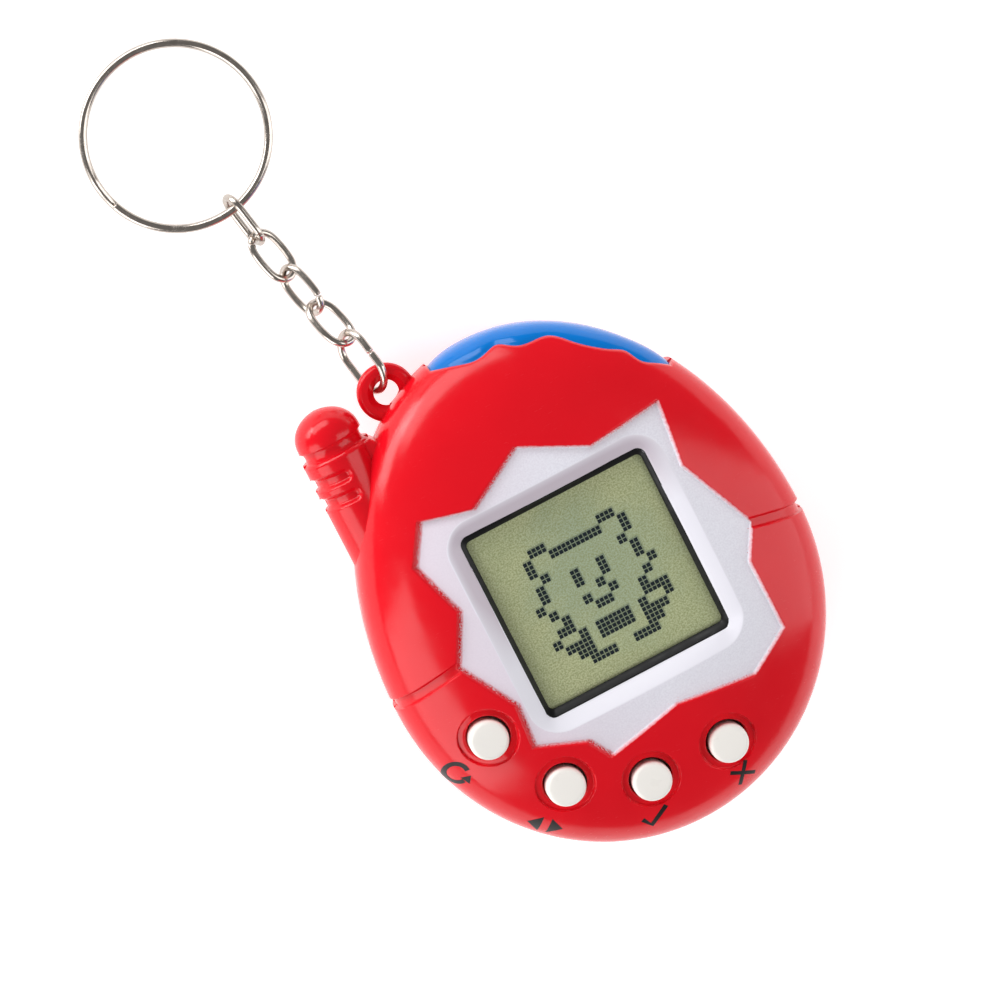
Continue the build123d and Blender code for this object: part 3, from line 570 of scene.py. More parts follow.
def lcd_look():
    """Reflective LCD: olive backing with fine grain, and a soft bluish painted shadow round the pet."""
    look = Look("lcd backing", rgb(176, 182, 134), 0.5, 0.2)
    grain = look.spread(look.noise(5600.0, 8.0), 0.40, 0.62, 0.0, 1.0)
    broad = look.patches(110.0, 2.0, 0.0, 1.0)
    tone = look.mix(broad, rgb(194, 202, 160), rgb(206, 210, 166))
    away = look.node("VectorMath")
    away.operation = "DISTANCE"
    away.inputs[1].default_value = (0.0012, 0.0018, 0.0160)
    look.link(look.place, away.inputs[0])
    # Painted shadow: a soft bluish cloud round the pet, centred a little up and to the right of it.
    pet_painted_shadow = look.spread(look.math("ADD", away.outputs["Value"],
                                 look.patches(300.0, 3.0, -0.0015, 0.0015)),
                       0.0045, 0.0098, 0.5, 0.0)
    tone = look.mix(pet_painted_shadow, tone, rgb(160, 182, 164))
    look.colour(look.mix(look.math("MULTIPLY", grain, 0.75), tone, rgb(150, 157, 108)))
    look.normal(look.bump(look.noise(5200.0, 3.0), 0.4, 0.00002))
    return look.material


def clear_look():
    """Thin clear window: seen straight through, with a weak reflection."""
    look = Look("clear window", (1.0, 1.0, 1.0, 1.0), 0.03)
    tree = look.tree
    see = look.node("BsdfTransparent")
    shine = look.node("BsdfGlossy")
    look.link(look.patches(500.0, 3.0, 0.02, 0.07), shine.inputs["Roughness"])
    edge = look.node("LayerWeight")
    share = look.math("MULTIPLY_ADD", look.math("POWER", edge.outputs["Facing"], 3.0), 0.4)
    share.node.inputs[2].default_value = 0.02
    blend = look.node("MixShader")
    look.link(share, blend.inputs[0])
    look.link(see.outputs[0], blend.inputs[1])
    look.link(shine.outputs[0], blend.inputs[2])
    look.link(blend.outputs[0], tree.nodes["Material Output"].inputs["Surface"])
    tree.nodes.remove(look.shader)
    return look.material


def ink_look(name, colour, share):
    """Dots of the display, or their painted shadows; share is how much of what lies behind shows through."""
    look = Look(name, colour, 0.4, 0.2)
    look.rough(look.spread(look.noise(3000.0), 0.3, 0.7, 0.35, 0.5))
    alpha = look.patches(5000.0, 3.0, share * 0.85, share)
    look.link(alpha, look.shader.inputs["Alpha"])
    return look.material


def print_look():
    """Black pad printing, a little thin in places."""
    look = Look("black print", rgb(20, 14, 15), 0.42, 0.3)
    thin = look.spread(look.noise(6000.0, 3.0), 0.62, 0.75, 0.0, 0.5)
    look.colour(look.mix(thin, rgb(18, 13, 14), rgb(110, 12, 18)))
    return look.material


BOARD = board_look()
LCD = lcd_look()
CLEAR = clear_look()
INK = ink_look("lcd dots", rgb(22, 34, 42), 0.97)
# Painted shadows of the dots: faint bluish copies, a little up and to the right, laid on the backing.
DOT_SHADOW_PAINT = ink_look("lcd painted_dot_shadow", rgb(92, 116, 112), 0.28)
PRINT = print_look()

CAD_LOOKS = {
    "rear_shell": RED, "battery_cover": RED, "window_lens": CLEAR, "lcd_panel": LCD,
    "zebra_strip_upper": RUBBER, "zebra_strip_lower": RUBBER, "circuit_board": BOARD,
    "chip_blob": RESIN, "keypad_mat": RUBBER, "case_screws": STEEL, "battery_cover_screw": STEEL,
    "button_cell_left": STEEL, "button_cell_right": STEEL, "cell_bridge_contact": NICKEL,
    "battery_contact_left": NICKEL, "battery_contact_right": NICKEL, "piezo_sounder": BRASS,
}
for node, material in CAD_LOOKS.items():
    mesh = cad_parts[node].data
    mesh.materials.clear()
    mesh.materials.append(material)
    mesh.polygons.foreach_set("use_smooth", [True] * len(mesh.polygons))
    mesh.set_sharp_from_angle(angle=math.radians(35.0))


# ---- the wavy line under the top cap
def wave_line(pull_in):
    share = 1 - pull_in / TOP_LENGTH
    points = [(x * share, WIDEST_Y + (y - WIDEST_Y) * share) for x, y in CAP_EDGE]
    corners = [points[1]]
    for a, b in zip(points[1:-2], points[2:-1]):
        corners += [((a[0] + b[0]) / 2, (a[1] + b[1]) / 2), b]
    middle = smooth_line(corners, 0.1)
    return np.vstack([[points[0]], middle, [points[-1]]])


def split_loops(side, pull_in, wave_spacing):
    """The wavy line cut at the rim, and the rim's turn at both ends, in the side's flat places."""
    wave = resample(wave_line(pull_in), wave_spacing, False)
    up = wave[:, 1] - WIDEST_Y
    share = np.hypot(wave[:, 0] / side.half, up / side.lengths(up))
    within = np.where(share < 1)[0]
    first, last = within[0], within[-1]

    def crossing(a, b):
        t = (1 - share[a]) / (share[b] - share[a])
        return wave[a] + (wave[b] - wave[a]) * t

    right, left = crossing(first, first - 1), crossing(last, last + 1)

    def turn(place):
        up = place[1] - WIDEST_Y
        return math.atan2(up / (side.top if up > 0 else side.low), place[0] / side.half)

    line = side.flat(wave[first:last + 1])
    right_turn, left_turn = turn(right), turn(left)
    ends = side.rim(np.array([right_turn, left_turn]))
    line = line[(np.linalg.norm(line - ends[0], axis=1) > wave_spacing * 0.4)
                & (np.linalg.norm(line - ends[1], axis=1) > wave_spacing * 0.4)]
    return line, right_turn, left_turn


# ---- front shell
def ring_points(place, radius, spacing):
    count = int(2 * math.pi * radius / spacing)
    turns = 2 * math.pi * np.arange(count) / count
    return np.stack([place[0] + radius * np.cos(turns), place[1] + radius * np.sin(turns)], 1)


def front_surface(flat, wave):
    place, normal, _ = FRONT.lift(flat)
    x, y = place[:, 0], place[:, 1]
    star = star_distance(x, y)
    drop = STAR_DEPTH * fall(star, 0.26)
    groove = groove_distance(x, y)
    cut = GROOVE_DEPTH * fall(groove - GROOVE_WIDTH / 2, 0.22) * ease(star / 0.25 + 0.5)
    drop = np.maximum(drop, cut)
    rim = np.maximum(place[:, 2] - PARTING_Z, 0)
    drop = drop + 0.12 * np.clip(1 - rim / 0.22, 0, 1) ** 2
    edge = polyline_distance(x, y, wave, False)
    drop = drop + 0.22 * np.clip(1 - edge / 0.4, 0, 1) ** 2
    out = place - normal * drop[:, None]
    z = out[:, 2]
    band = window_distance(x, y)
    share = window_share(x, y)
    low = np.maximum(np.minimum(WINDOW_EDGE_Z, z - BAND_DEPTH), WINDOW_LEAST_Z)
    slope = 1 - (1 - share) ** 1.12
    lip = 0.04 * np.clip(1 - band / 0.1, 0, 1) ** 2
    z = np.where(share < 1, low + (z - low) * slope - lip, z)
    for centre in BUTTONS.values():
        radius = np.hypot(x - centre[0], y - centre[1] - HOLE_SHIFT)
        above = np.maximum(z - front_height(centre), 0)
        z = z - fall(radius - DISH_RADIUS, 0.16) * (DISH_DEPTH + 0.5 * above)
        z = z - 0.08 * np.clip(1 - (radius - HOLE_RADIUS) / 0.14, 0, 1) ** 2 * (radius < 3)
    out[:, 2] = z
    back = place - normal * WALL
    pocket = (np.abs(x - WINDOW_CENTRE[0]) < 12.15) & (np.abs(y - WINDOW_CENTRE[1]) < 12.3)
    back[:, 2] = np.where(pocket, np.minimum(np.maximum(back[:, 2], 16.97), z - 0.1), back[:, 2])
    shifted = star_distance(x - PAINT_SHIFT, y + 0.05)
    paint = np.maximum(shifted, star - 0.15)
    return out, back, paint, star


def front_spacing(flat, size):
    place, _, _ = FRONT.lift(flat)
    x, y = place[:, 0], place[:, 1]
    reach = size * 0.75
    wanted = np.full(len(flat), 1.3)

    def near(distance, band, least, growth=0.45):
        nonlocal wanted
        away = np.maximum(distance - band - reach, 0)
        wanted = np.minimum(wanted, least + growth * away)

    near(np.abs(star_distance(x, y)), 0.16, 0.085)
    near(np.abs(groove_distance(x, y) - GROOVE_WIDTH / 2), 0.13, 0.09)
    window = window_distance(x, y)
    near(np.abs(window), 0.1, 0.12)
    near(np.abs(window_distance(x, y, WINDOW_BAND, WINDOW_BAND_CORNER)), 0.1, 0.16)
    near(np.abs(window - WINDOW_BAND / 2), WINDOW_BAND / 2, 0.3)
    for centre in BUTTONS.values():
        radius = np.hypot(x - centre[0], y - centre[1] - HOLE_SHIFT)
        near(np.abs(radius - DISH_RADIUS), 0.15, 0.09)
        near(np.abs(radius - 2.8), 0.5, 0.2)
    near(place[:, 2] - PARTING_Z, 0.25, 0.16)
    near(polyline_distance(x, y, WAVE_COARSE, False), 0.4, 0.13)
    return wanted


WAVE_COARSE = resample(wave_line(CAP_GAP), 0.6, False)


def make_front():
    wave, right_turn, left_turn = split_loops(FRONT, CAP_GAP, 0.13)
    span = right_turn - (left_turn - 2 * math.pi)
    count = int(span * 27 / 0.28)
    rim = FRONT.rim(right_turn - span * np.arange(count + 1) / count)
    outer = np.vstack([rim, wave[::-1]])
    holes = [FRONT.flat(resample(window_corners(WINDOW_HALF, WINDOW_CORNER, 11), 0.14, True))]
    for centre in BUTTONS.values():
        holes.append(FRONT.flat(ring_points((centre[0], centre[1] + HOLE_SHIFT), HOLE_RADIUS, 0.11)))
    points = scattered(front_spacing, (-32, -34), (32, 42), 1.3, 0.09)
    keep = inside(points[:, 0], points[:, 1], outer)
    for hole in holes:
        keep &= ~inside(points[:, 0], points[:, 1], hole)
    points = clear_of(points[keep], [outer] + holes, 0.05)
    flat, faces = triangulated(points, outer, holes)
    line = wave_line(CAP_GAP)
    surface, back, paint, star = front_surface(flat, resample(line, 0.25, False))
    verts, solid = walled(surface, back, faces)
    x, y = surface[:, 0], surface[:, 1]
    share = window_share(x, y)
    # The star attribute also carries painted shade for the window band: it goes below -1, and lower the more
    # shade, most on the band's upper side.
    band_shade_slant = np.clip((y - WINDOW_CENTRE[1] - 0.35 * (x - WINDOW_CENTRE[0])) / 9.0, 0, 1)
    star = np.where(share < 1, -1.0 - band_shade_slant * np.sqrt(np.maximum(1 - share, 0)), np.maximum(star, -0.5))
    plain = np.where(window_distance(x, y) < 0.5, -1.0, UNPAINTED)
    return verts, solid, np.stack([np.concatenate([paint, plain]), np.concatenate([star, plain])], 1)


# ---- antenna, front half
def antenna_radius(y):
    """Barrel, neck and domed head along the antenna."""
    if y < 25.5:
        return 3.9 - 0.35 * max(1 - (25.5 - y) / 0.55, 0) ** 2
    if y < 26.7:
        return 3.3 + 0.12 * abs((y - 26.1) / 0.6) ** 3
    over = y - 26.7
    if over < 0.3:
        return 3.55 + 0.15 * math.sqrt(max(1 - (1 - over / 0.3) ** 2, 0))
    return 3.7 * math.sqrt(max(1 - ((over - 0.3) / 3.4) ** 2.15, 0))


def make_antenna():
    stations = sorted(set(
        [round(v, 3) for v in np.linspace(8.0, 19.4, 24)]
        + [round(v, 3) for v in np.linspace(19.5, 25.5, 91)]
        + [25.501, 25.56, 26.1, 26.64, 26.699, 26.7]
        + [round(26.7 + 0.3 * (1 - math.cos(math.pi / 2 * i / 6)), 4) for i in range(1, 7)]
        + [round(27.0 + 3.38 * math.sin(math.pi / 2 * i / 26), 4) for i in range(1, 26)]))
    turns = np.linspace(0, math.pi, 97)
    verts, faces = [], []
    for y in stations:
        radius = antenna_radius(y)
        for turn in turns:
            cx = math.cos(turn)
            here = radius
            if 19.0 < y < 25.5:
                for middle in (20.8, 23.1):
                    end = -18.1
                    across = abs(y - middle)
                    past = max(ANTENNA_X + radius * cx - end, 0)
                    off = math.hypot(past, across) - 0.60
                    deep = 1 - min(max(off / 0.62 + 0.5, 0), 1)
                    here = min(here, radius - 0.5 * deep * deep * (3 - 2 * deep))
            verts.append((ANTENNA_X + here * cx, y, PARTING_Z + 0.005 + here * math.sin(turn)))
    n = len(turns)
    for i in range(len(stations) - 1):
        for j in range(n - 1):
            faces.append((i * n + j, i * n + j + 1, (i + 1) * n + j + 1, (i + 1) * n + j))
        faces.append((i * n + n - 1, i * n, (i + 1) * n, (i + 1) * n + n - 1))
    faces.append(tuple(range(n - 1, -1, -1)))
    last = (len(stations) - 1) * n
    tip = len(verts)
    verts.append((ANTENNA_X, 30.395, PARTING_Z + 0.005))
    for j in range(n - 1):
        faces.append((last + j, last + j + 1, tip))
    faces.append((last + n - 1, last, tip))
    return np.array(verts), [tuple(reversed(f)) for f in faces]


def make_web():
    """The flat web between the antenna and the egg, with eased upper edges."""
    outline = [(-15.0, 12.0), (-8.0, 16.0), (-12.0, 23.0), (-13.9, 25.2), (-15.0, 25.2)]
    mesh = bmesh.new()
    low = [mesh.verts.new((x, y, PARTING_Z + 0.005)) for x, y in outline]
    high = [mesh.verts.new((x, y, PARTING_Z + 2.4)) for x, y in outline]
    mesh.faces.new(low[::-1])
    top = mesh.faces.new(high)
    for i in range(len(outline)):
        j = (i + 1) % len(outline)
        mesh.faces.new((low[i], low[j], high[j], high[i]))
    bmesh.ops.bevel(mesh, geom=list(top.edges), offset=0.3, segments=4, profile=0.5, affect="EDGES")
    mesh.verts.index_update()
    verts = np.array([tuple(v.co) for v in mesh.verts])
    faces = [tuple(v.index for v in f.verts) for f in mesh.faces]
    mesh.free()
    return verts, faces


verts, faces, paint = joined([make_front(), (*make_antenna(), UNPAINTED), (*make_web(), UNPAINTED)])
mesh_object("front_shell_skin", verts, faces, FRONT_LOOK, "root", ["front_shell"], "red_plastic", paint, 55.0)


# ---- top cap
def make_cap():
    skins = []
    for side in (CAP_FRONT, CAP_REAR):
        wave, right_turn, left_turn = split_loops(side, CAP_TUCK, 0.2)
        span = left_turn - right_turn
        count = int(span * 30 / 0.3)
        rim = side.rim(right_turn + span * np.arange(count + 1) / count)
        outer = np.vstack([rim, wave[::-1]])

        def spacing(flat, size):
            place, _, _ = side.lift(flat)
            away = polyline_distance(place[:, 0], place[:, 1], WAVE_COARSE, False)
            return np.minimum(0.6, 0.2 + 0.4 * np.maximum(away - 0.3 - size, 0))

        points = scattered(spacing, (-32, 5), (32, 44), 0.8, 0.2)
        points = clear_of(points[inside(points[:, 0], points[:, 1], outer)], [outer], 0.08)
        flat, faces = triangulated(points, outer, [])
        place, normal, _ = side.lift(flat)
        if side.sign < 0:
            faces = faces[:, ::-1]
        away = polyline_distance(place[:, 0], place[:, 1], WAVE_COARSE, False)
        place = place - normal * (CAP_DIP * np.clip(1 - away / 1.3, 0, 1) ** 2)[:, None]
        skins.append((place, normal, faces))
    places = np.vstack([s[0] for s in skins])
    normals = np.vstack([s[1] for s in skins])
    faces = np.vstack([skins[0][2], skins[1][2] + len(skins[0][0])])
    keys = {}
    back = np.zeros(len(places), int)
    for i, place in enumerate(places):
        back[i] = keys.setdefault(tuple(np.round(place, 3)), i)
    faces = back[faces]
    used = np.unique(faces)
    order = np.full(len(places), -1)
    order[used] = np.arange(len(used))
    place, normal, faces = places[used], normals[used], order[faces]
    return walled(place, place - normal * (WALL - CAP_SUNK), faces)


mesh_object("top_cap_skin", *make_cap(), BLUE, "root", ["top_cap"], "blue_plastic")


# ---- window frame
def matched_loop(half, corner, steps=12, straight=24):
    """A rounded loop with the same number of points whatever its size."""
    points = window_corners(half, corner, steps)
    out = []
    for i, a in enumerate(points):
        b = points[(i + 1) % len(points)]
        out.append(a)
        if (i + 1) % (steps + 1) == 0:
            for s in range(1, straight):
                out.append((a[0] + (b[0] - a[0]) * s / straight, a[1] + (b[1] - a[1]) * s / straight))
    return np.array(out)


BEZEL_BASE_Z = 16.46


def make_bezel():
    """The frame fills the opening nearly to its edge, then slopes down to the clear window."""
    wall = matched_loop((11.27, 11.17), 0.97)
    star_top = FRONT.lift(FRONT.flat(wall))[0][:, 2] - STAR_DEPTH
    edge = np.maximum(np.minimum(WINDOW_EDGE_Z, star_top - BAND_DEPTH), WINDOW_LEAST_Z) - 0.06
    n = len(wall)
    flange = matched_loop((12.0, 11.8), 0.6)
    rows = [
        (flange, np.full(n, BEZEL_BASE_Z)),
        (flange, np.full(n, 16.94)),
        (wall, np.full(n, 16.95)),
        (wall, edge - 0.06),
        (matched_loop((11.22, 11.12), 0.94), edge),
        (matched_loop((11.12, 11.02), 0.9), edge - 0.02),
        (matched_loop((10.80, 10.62), 0.7), np.full(n, 16.80)),
        (matched_loop((10.66, 10.42), 0.6), np.full(n, 16.66)),
        (matched_loop((10.6, 10.35), 0.6), np.full(n, BEZEL_BASE_Z)),
    ]
    verts = np.vstack([np.hstack([loop, z[:, None]]) for loop, z in rows])
    faces = []
    for k in range(len(rows)):
        m = (k + 1) % len(rows)
        for i in range(n):
            j = (i + 1) % n
            faces.append((k * n + i, k * n + j, m * n + j, m * n + i))
    return verts, faces


mesh_object("window_frame", *make_bezel(), BLACK, "root", ["screen_bezel"], "black_plastic", sharp=40.0)


# ---- display dots
PET = [
    "..##......##..",
    ".#..######..#.",
    ".#..........#.",
    "..#........#..",
    ".#...#..#...#.",
    ".#...#..#...#.",
    "#......#.....#",
    ".#...#..#...#.",
    "..#...##...#..",
    ".##........###",
    "#..#.####.#..#",
    ".###.####.###.",
    "..##......##..",
    "...###..###...",
]
DOT = 0.42
DOT_PITCH = 0.52
PET_CENTRE = (WINDOW_CENTRE[0] + 0.1, WINDOW_CENTRE[1] - 0.9)
LCD_TOP_Z = 16.05


def dot_boxes(shift, low_z, high_z, size):
    """Each mark of the pet as four small flat boxes, two by two."""
    verts, faces = [], []
    rows, columns = len(PET), len(PET[0])
    for r, row in enumerate(PET):
        for c, mark in enumerate(row):
            if mark != "#":
                continue
            for a in (0, 1):
                for b in (0, 1):
                    x = PET_CENTRE[0] + shift[0] + (2 * c + a - columns + 0.5) * DOT_PITCH
                    y = PET_CENTRE[1] + shift[1] + (rows - 2 * r - b - 0.5) * DOT_PITCH
                    start, h = len(verts), size / 2
                    for z in (low_z, high_z):
                        verts += [(x - h, y - h, z), (x + h, y - h, z), (x + h, y + h, z), (x - h, y + h, z)]
                    s = start
                    faces += [(s + 3, s + 2, s + 1, s), (s + 4, s + 5, s + 6, s + 7)]
                    faces += [(s + i, s + (i + 1) % 4, s + 4 + (i + 1) % 4, s + 4 + i) for i in range(4)]
    return np.array(verts), faces


mesh_object("lcd_dots", *dot_boxes((0, 0), LCD_TOP_Z - 0.01, LCD_TOP_Z + 0.012, DOT), INK, "root")
# Painted shadows of the dots, lying just on the backing.
shadows = dot_boxes((0.12, 0.14), LCD_TOP_Z - 0.012, LCD_TOP_Z + 0.005, DOT_PITCH - 0.02)
mesh_object("lcd_dot_shadows", *shadows, DOT_SHADOW_PAINT, "root")


# ---- buttons
def revolved(profile, centre, count=96):
    """A closed piece turned about +Z; the profile runs from the bottom middle to the top middle."""
    verts = [(centre[0], centre[1], profile[0][1])]
    faces = []
    rings = profile[1:-1]
    for radius, z in rings:
        for i in range(count):
            turn = 2 * math.pi * i / count
            verts.append((centre[0] + radius * math.cos(turn), centre[1] + radius * math.sin(turn), z))
    verts.append((centre[0], centre[1], profile[-1][1]))
    last = len(verts) - 1
    for i in range(count):
        j = (i + 1) % count
        faces.append((0, 1 + j, 1 + i))
        for k in range(len(rings) - 1):
            a, b = 1 + k * count, 1 + (k + 1) * count
            faces.append((a + i, a + j, b + j, b + i))
        top = 1 + (len(rings) - 1) * count
        faces.append((top + i, top + j, last))
    return np.array(verts), faces


BUTTON_RISE = 0.65
BUTTON_EDGE = 0.5
BUTTON_CROWN = 0.03
FLANGE = [(0, 13.1), (2.9, 13.1), (3.0, 13.2), (3.0, 13.8), (2.9, 13.9), (BUTTON_RADIUS, 13.9)]
for name, centre in BUTTONS.items():
    top = front_height(centre) + BUTTON_RISE
    shoulder = top - BUTTON_EDGE - BUTTON_CROWN
    flat_radius = BUTTON_RADIUS - BUTTON_EDGE
    profile = FLANGE + [(BUTTON_RADIUS, shoulder)]
    for i in range(1, 9):
        turn = math.pi / 2 * i / 8
        profile.append((flat_radius + BUTTON_EDGE * math.cos(turn), shoulder + BUTTON_EDGE * math.sin(turn)))
    for share in (0.7, 0.4, 0.15):
        profile.append((flat_radius * share, top - BUTTON_CROWN * share ** 2))
    profile.append((0, top))
    node = "button_" + name
    mesh_object("button_cap_" + name, *revolved(profile, centre), WHITE, node, [node],
                "button_plastic", sharp=40.0)


# ---- chain and split ring
WIRE = 0.45
WIRE_PLAY = 0.03
LINK_PITCH, LINK_WIDTH = 5.0, 3.45
EAR_LINK_PITCH, EAR_LINK_WIDTH = 5.6, 4.5
LINK_GAP, EAR_LINK_GAP, RING_LINK_GAP = 0.12, 0.3, 0.2
EAR_CENTRE = (-9.9, 28.45, 8.75)
EAR_HEADING = 11.5
EAR_RADIUS, EAR_HOLE_RADIUS = 3.25, 1.4
RING_HEADING, RING_SLOPE = 12.2, -3.4
RING_RADIUS, RING_WIRE, RING_COIL_GAP = 10.05, 0.475, 0.03
RING_STEPS = 720
# Each link's name, heading, slope and roll in degrees, then where its cut is and how bowed its sides are.
LINKS = [
    ("chain_link_5", 9.6, -22.0, -54.0, 0.06, 0.0),
    ("chain_link_4", 14.9, -25.0, 40.0, 0.93, 0.5),
    ("chain_link_3", 13.8, -22.0, -48.0, 0.955, 0.5),
    ("chain_link_2", 12.3, -3.0, 34.0, 0.42, 0.5),
    ("chain_link_1", 10.0, -1.0, -74.0, 0.95, 0.0),
]


def direction(heading, slope):
    turn, rise = math.radians(heading), math.radians(slope)
    return Vector((-math.sin(turn) * math.cos(rise), math.cos(turn) * math.cos(rise), math.sin(rise)))


def tube(path, radius, tip=0.12, sides=20):
    """Round wire along a path, with slightly eased cut ends."""
    path = [Vector(p) for p in path]
    n = len(path)
    tangents = []
    for i in range(n):
        tangents.append((path[min(i + 1, n - 1)] - path[max(i - 1, 0)]).normalized())
    side = tangents[0].orthogonal().normalized()
    sections = []
    for i in range(n):
        side = (side - tangents[i] * side.dot(tangents[i])).normalized()
        sections.append((path[i], tangents[i], side.copy(), radius))
    first, last = sections[0], sections[-1]
    sections[0] = (first[0] + first[1] * tip, first[1], first[2], radius)
    sections.insert(0, (first[0], first[1], first[2], radius - tip))
    sections[-1] = (last[0] - last[1] * tip, last[1], last[2], radius)
    sections.append((last[0], last[1], last[2], radius - tip))
    verts = []
    for centre, tangent, side, size in sections:
        up = tangent.cross(side)
        for k in range(sides):
            turn = 2 * math.pi * k / sides
            verts.append(tuple(centre + (side * math.cos(turn) + up * math.sin(turn)) * size))
    last = (len(sections) - 1) * sides
    faces = [(i + k, i + (k + 1) % sides, i + sides + (k + 1) % sides, i + sides + k)
             for i in range(0, last, sides) for k in range(sides)]
    faces.append(tuple(range(sides - 1, -1, -1)))
    faces.append(tuple(last + k for k in range(sides)))
    return np.array(verts), faces


def oval(length, width, cut, gap, bow):
    """The wire's way round an oval link, starting and ending either side of a cut."""
    radius = width / 2
    straight = length - width
    around = 2 * math.pi * radius + 2 * straight
    middle = length / 2

    def at(run):
        run %= around
        quarter = math.pi * radius
        if run < straight:
            return radius, radius + run
        run -= straight
        if run < quarter:
            turn = run / radius
            return radius * math.cos(turn), radius + straight + radius * math.sin(turn)
        run -= quarter
        if run < straight:
            return -radius, radius + straight - run
        turn = (run - straight) / radius
        return -radius * math.cos(turn), radius - radius * math.sin(turn)

    def eased(x, y):
        """Sides a little bowed, so that the link is rounder than two half circles."""
        across = radius * math.sqrt(max(1 - ((y - middle) / middle) ** 2, 0)) * (1 if x > 0 else -1)
        return x + (across - x) * bow, y

    start = cut * around
    count = 110
    return [eased(*at(start + gap / 2 + (around - gap) * i / count)) for i in range(count + 1)]


def level(heading):
    return Vector((math.cos(math.radians(heading)), math.sin(math.radians(heading)), 0))


pivot = Vector(EAR_CENTRE) + direction(EAR_HEADING, 0) * (EAR_RADIUS + EAR_HOLE_RADIUS) / 2
held = (EAR_RADIUS - EAR_HOLE_RADIUS) / 2
for name, heading, slope, roll, cut, bow in LINKS:
    first = name == LINKS[0][0]
    pitch, width = (EAR_LINK_PITCH, EAR_LINK_WIDTH) if first else (LINK_PITCH, LINK_WIDTH)
    back = held + WIRE + (EAR_LINK_GAP if first else LINK_GAP)
    along = direction(heading, slope)
    across = Matrix.Rotation(math.radians(roll), 3, along) @ level(heading)
    near_end = pivot - along * back
    bent = oval(pitch + back, width, cut, 0.1, bow)
    path = [near_end + across * x + along * y for x, y in bent]
    mesh_object(name + "_wire", *tube(path, WIRE - WIRE_PLAY), NICKEL, name, [name], "nickel")
    pivot = near_end + along * (pitch + back)
    held = WIRE

offset = RING_WIRE + RING_COIL_GAP / 2
room = LINK_WIDTH / 2 - WIRE - RING_LINK_GAP - RING_WIRE
reach = LINK_WIDTH / 2 - math.sqrt(room ** 2 - offset ** 2)
along = direction(RING_HEADING, RING_SLOPE)
across = level(RING_HEADING)
centre = pivot + along * (RING_RADIUS - reach)
normal = across.cross(along)
path = []
for i in range(RING_STEPS + 1):
    degrees = 9.0 + (RING_STEPS - 18.0) * i / RING_STEPS
    step = ease(np.array((degrees - 349.0) / 22.0))
    height = offset * (1 - 2 * float(step))
    turn = math.radians(degrees + 180.0)
    out = across * math.cos(turn) + along * math.sin(turn)
    path.append(centre + out * RING_RADIUS + normal * height)
mesh_object("split_ring", *tube(path, RING_WIRE, 0.1), NICKEL, "key_ring", ["key_ring"], "nickel")


# ---- printed key marks
def stroke(points, width):
    """Outline of a line drawn with a round pen."""
    points = [Vector(p) for p in points]
    left, right = [], []
    for i, p in enumerate(points):
        a = points[max(i - 1, 0)]
        b = points[min(i + 1, len(points) - 1)]
        t = (b - a).normalized()
        side = Vector((-t.y, t.x)) * width / 2
        left.append(p + side)
        right.append(p - side)
    return [tuple(p) for p in left] + [tuple(p) for p in reversed(right)]


def arc(radius, start, end, steps=28):
    return [(radius * math.cos(math.radians(start + (end - start) * i / steps)),
             radius * math.sin(math.radians(start + (end - start) * i / steps))) for i in range(steps + 1)]


MARKS = {
    "reset": [stroke(arc(0.92, 60, 350), 0.40), [(0.52, -0.1), (1.42, -0.1), (0.98, 0.62)]],
    "select": [[(-1.5, 0.0), (-0.35, 0.78), (-0.35, -0.78)], [(1.5, 0.0), (0.35, -0.78), (0.35, 0.78)]],
    "decide": [stroke([(-1.0, 0.05), (-0.3, -0.7), (1.15, 0.85)], 0.42)],
    "cancel": [[(-0.95, -0.7), (-0.7, -0.95), (0.0, -0.25), (0.7, -0.95), (0.95, -0.7), (0.25, 0.0),
                (0.95, 0.7), (0.7, 0.95), (0.0, 0.25), (-0.7, 0.95), (-0.95, 0.7), (-0.25, 0.0)]],
}
# Where each mark is, and how far it is turned in degrees.
MARK_PLACES = {
    "reset": (-22.3, -11.5, -62.0), "select": (-16.3, -21.3, -40.0),
    "decide": (-5.3, -25.9, -12.0), "cancel": (5.6, -26.2, 13.0),
}
MARK_SCALE = 1.32
MARK_GRID = 0.2

mark_parts = []
for name, outlines in MARKS.items():
    cx, cy, turn = MARK_PLACES[name]
    turn = math.radians(turn)
    for outline in outlines:
        loop = resample(outline, 0.12, True) * MARK_SCALE
        turned = np.stack([cx + loop[:, 0] * math.cos(turn) - loop[:, 1] * math.sin(turn),
                           cy + loop[:, 0] * math.sin(turn) + loop[:, 1] * math.cos(turn)], 1)
        flat_loop = FRONT.flat(turned)
        low, high = flat_loop.min(0), flat_loop.max(0)
        gx, gy = np.meshgrid(np.arange(low[0], high[0], MARK_GRID), np.arange(low[1], high[1], MARK_GRID))
        grid = np.stack([gx.ravel(), gy.ravel()], 1)
        grid = grid[inside(grid[:, 0], grid[:, 1], flat_loop)]
        grid = clear_of(grid, [flat_loop], 0.06)
        flat, faces = triangulated(grid, flat_loop, [])
        place, normal_at, _ = FRONT.lift(flat)
        verts, solid = walled(place + normal_at * 0.012, place - normal_at * 0.03, faces)
        mark_parts.append((verts, solid, 0.0))
verts, faces, _ = joined(mark_parts)
mesh_object("key_marks", verts, faces, PRINT, "root")


# ---- floor, light and camera
def floor_look():
    look = Look("floor", (0.86, 0.86, 0.86, 1.0), 0.8, 0.1)
    look.shader.inputs["Emission Color"].default_value = (1.0, 1.0, 1.0, 1.0)
    look.shader.inputs["Emission Strength"].default_value = 0.55
    look.rough(look.patches(40.0, 3.0, 0.75, 0.9))
    return look.material


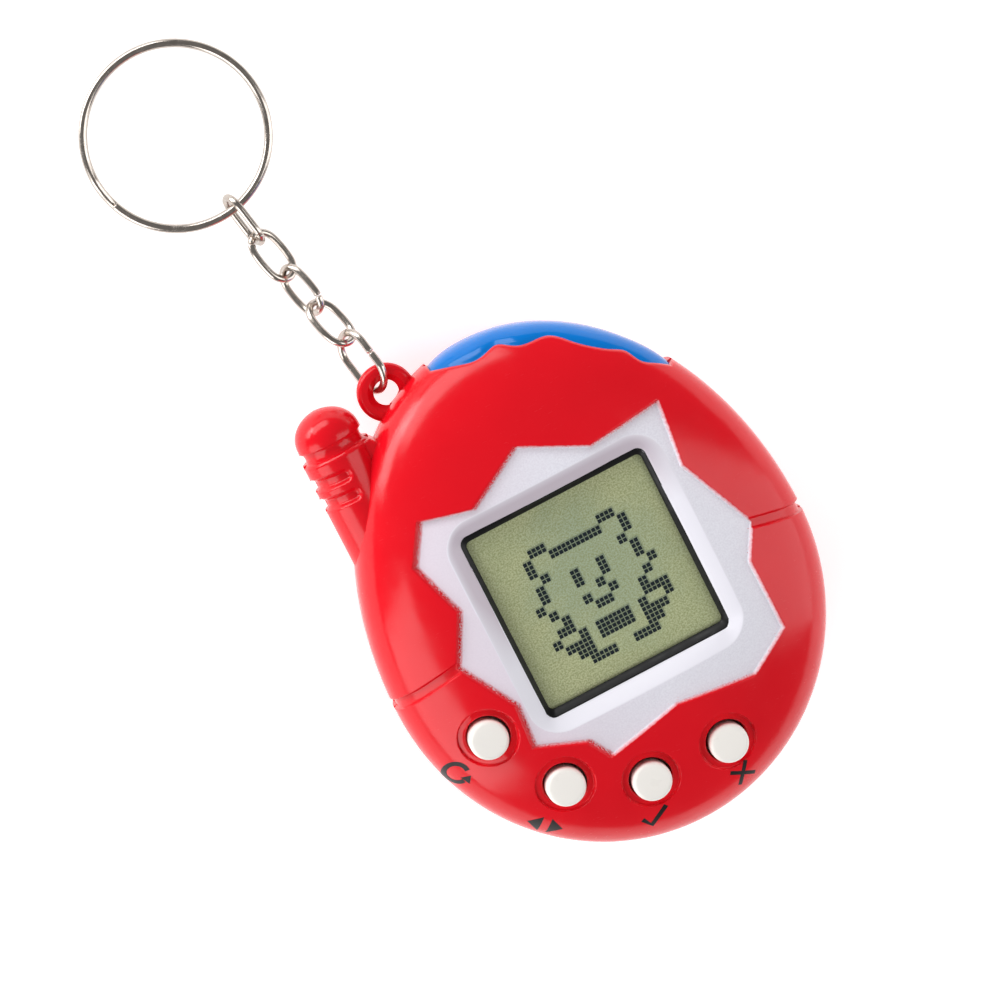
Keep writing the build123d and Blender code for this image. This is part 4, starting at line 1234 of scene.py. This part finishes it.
floor_mesh = bpy.data.meshes.new("floor")
floor_mesh.from_pydata([(-3, -3, 0), (3, -3, 0), (3, 3, 0), (-3, 3, 0)], [], [(0, 1, 2, 3)])
floor_mesh.materials.append(floor_look())
floor = placed("floor", floor_mesh)

world = bpy.data.worlds.new("studio")
bpy.context.scene.world = world
world.use_nodes = True
world.node_tree.nodes["Background"].inputs["Color"].default_value = (1.0, 1.0, 1.0, 1.0)
world.node_tree.nodes["Background"].inputs["Strength"].default_value = 0.21

AIM = Vector((-0.004, 0.012, 0.010))
LIGHT_DISTANCE = 0.9


def softbox(name, towards, size, watts):
    """A soft light at one distance from the middle of the toy, turned to face it."""
    lamp = bpy.data.lights.new(name, "AREA")
    lamp.shape = "RECTANGLE"
    lamp.size, lamp.size_y = size
    lamp.energy = watts
    holder = placed(name, lamp)
    spot = Vector(towards).normalized() * LIGHT_DISTANCE
    holder.location = AIM + spot
    holder.rotation_euler = (-spot).to_track_quat("-Z", "Y").to_euler()


softbox("left box", (-0.88, -0.30, 0.46), (0.75, 0.7), 5.2)
softbox("right box", (0.92, -0.34, 0.55), (0.6, 1.3), 5.4)
softbox("top box", (-0.20, 0.95, 0.34), (0.9, 0.40), 4.9)
softbox("edge box", (-0.66, 0.75, 0.12), (0.5, 0.26), 2.6)

VIEW = Vector((-0.046807, 0.184979, 0.981627))
TARGET = Vector((-4.25, 12.2, 9.5))
CAMERA_DISTANCE = 400
CAMERA_TURN = math.radians(26.8)
lens = bpy.data.cameras.new("camera")
lens.sensor_width = 36.0
lens.lens = 131.76
lens.clip_start = 0.01
lens.clip_end = 20.0
camera = placed("camera", lens)
up = Vector((math.sin(CAMERA_TURN), math.cos(CAMERA_TURN), 0.0))
up = (up - VIEW * up.dot(VIEW)).normalized()
right = up.cross(VIEW)
spot = (TARGET + VIEW * CAMERA_DISTANCE) * MM
camera.matrix_world = Matrix([(right[i], up[i], VIEW[i], spot[i]) for i in range(3)] + [(0, 0, 0, 1)])
bpy.context.scene.camera = camera
bpy.context.scene.view_settings.view_transform = "Standard"
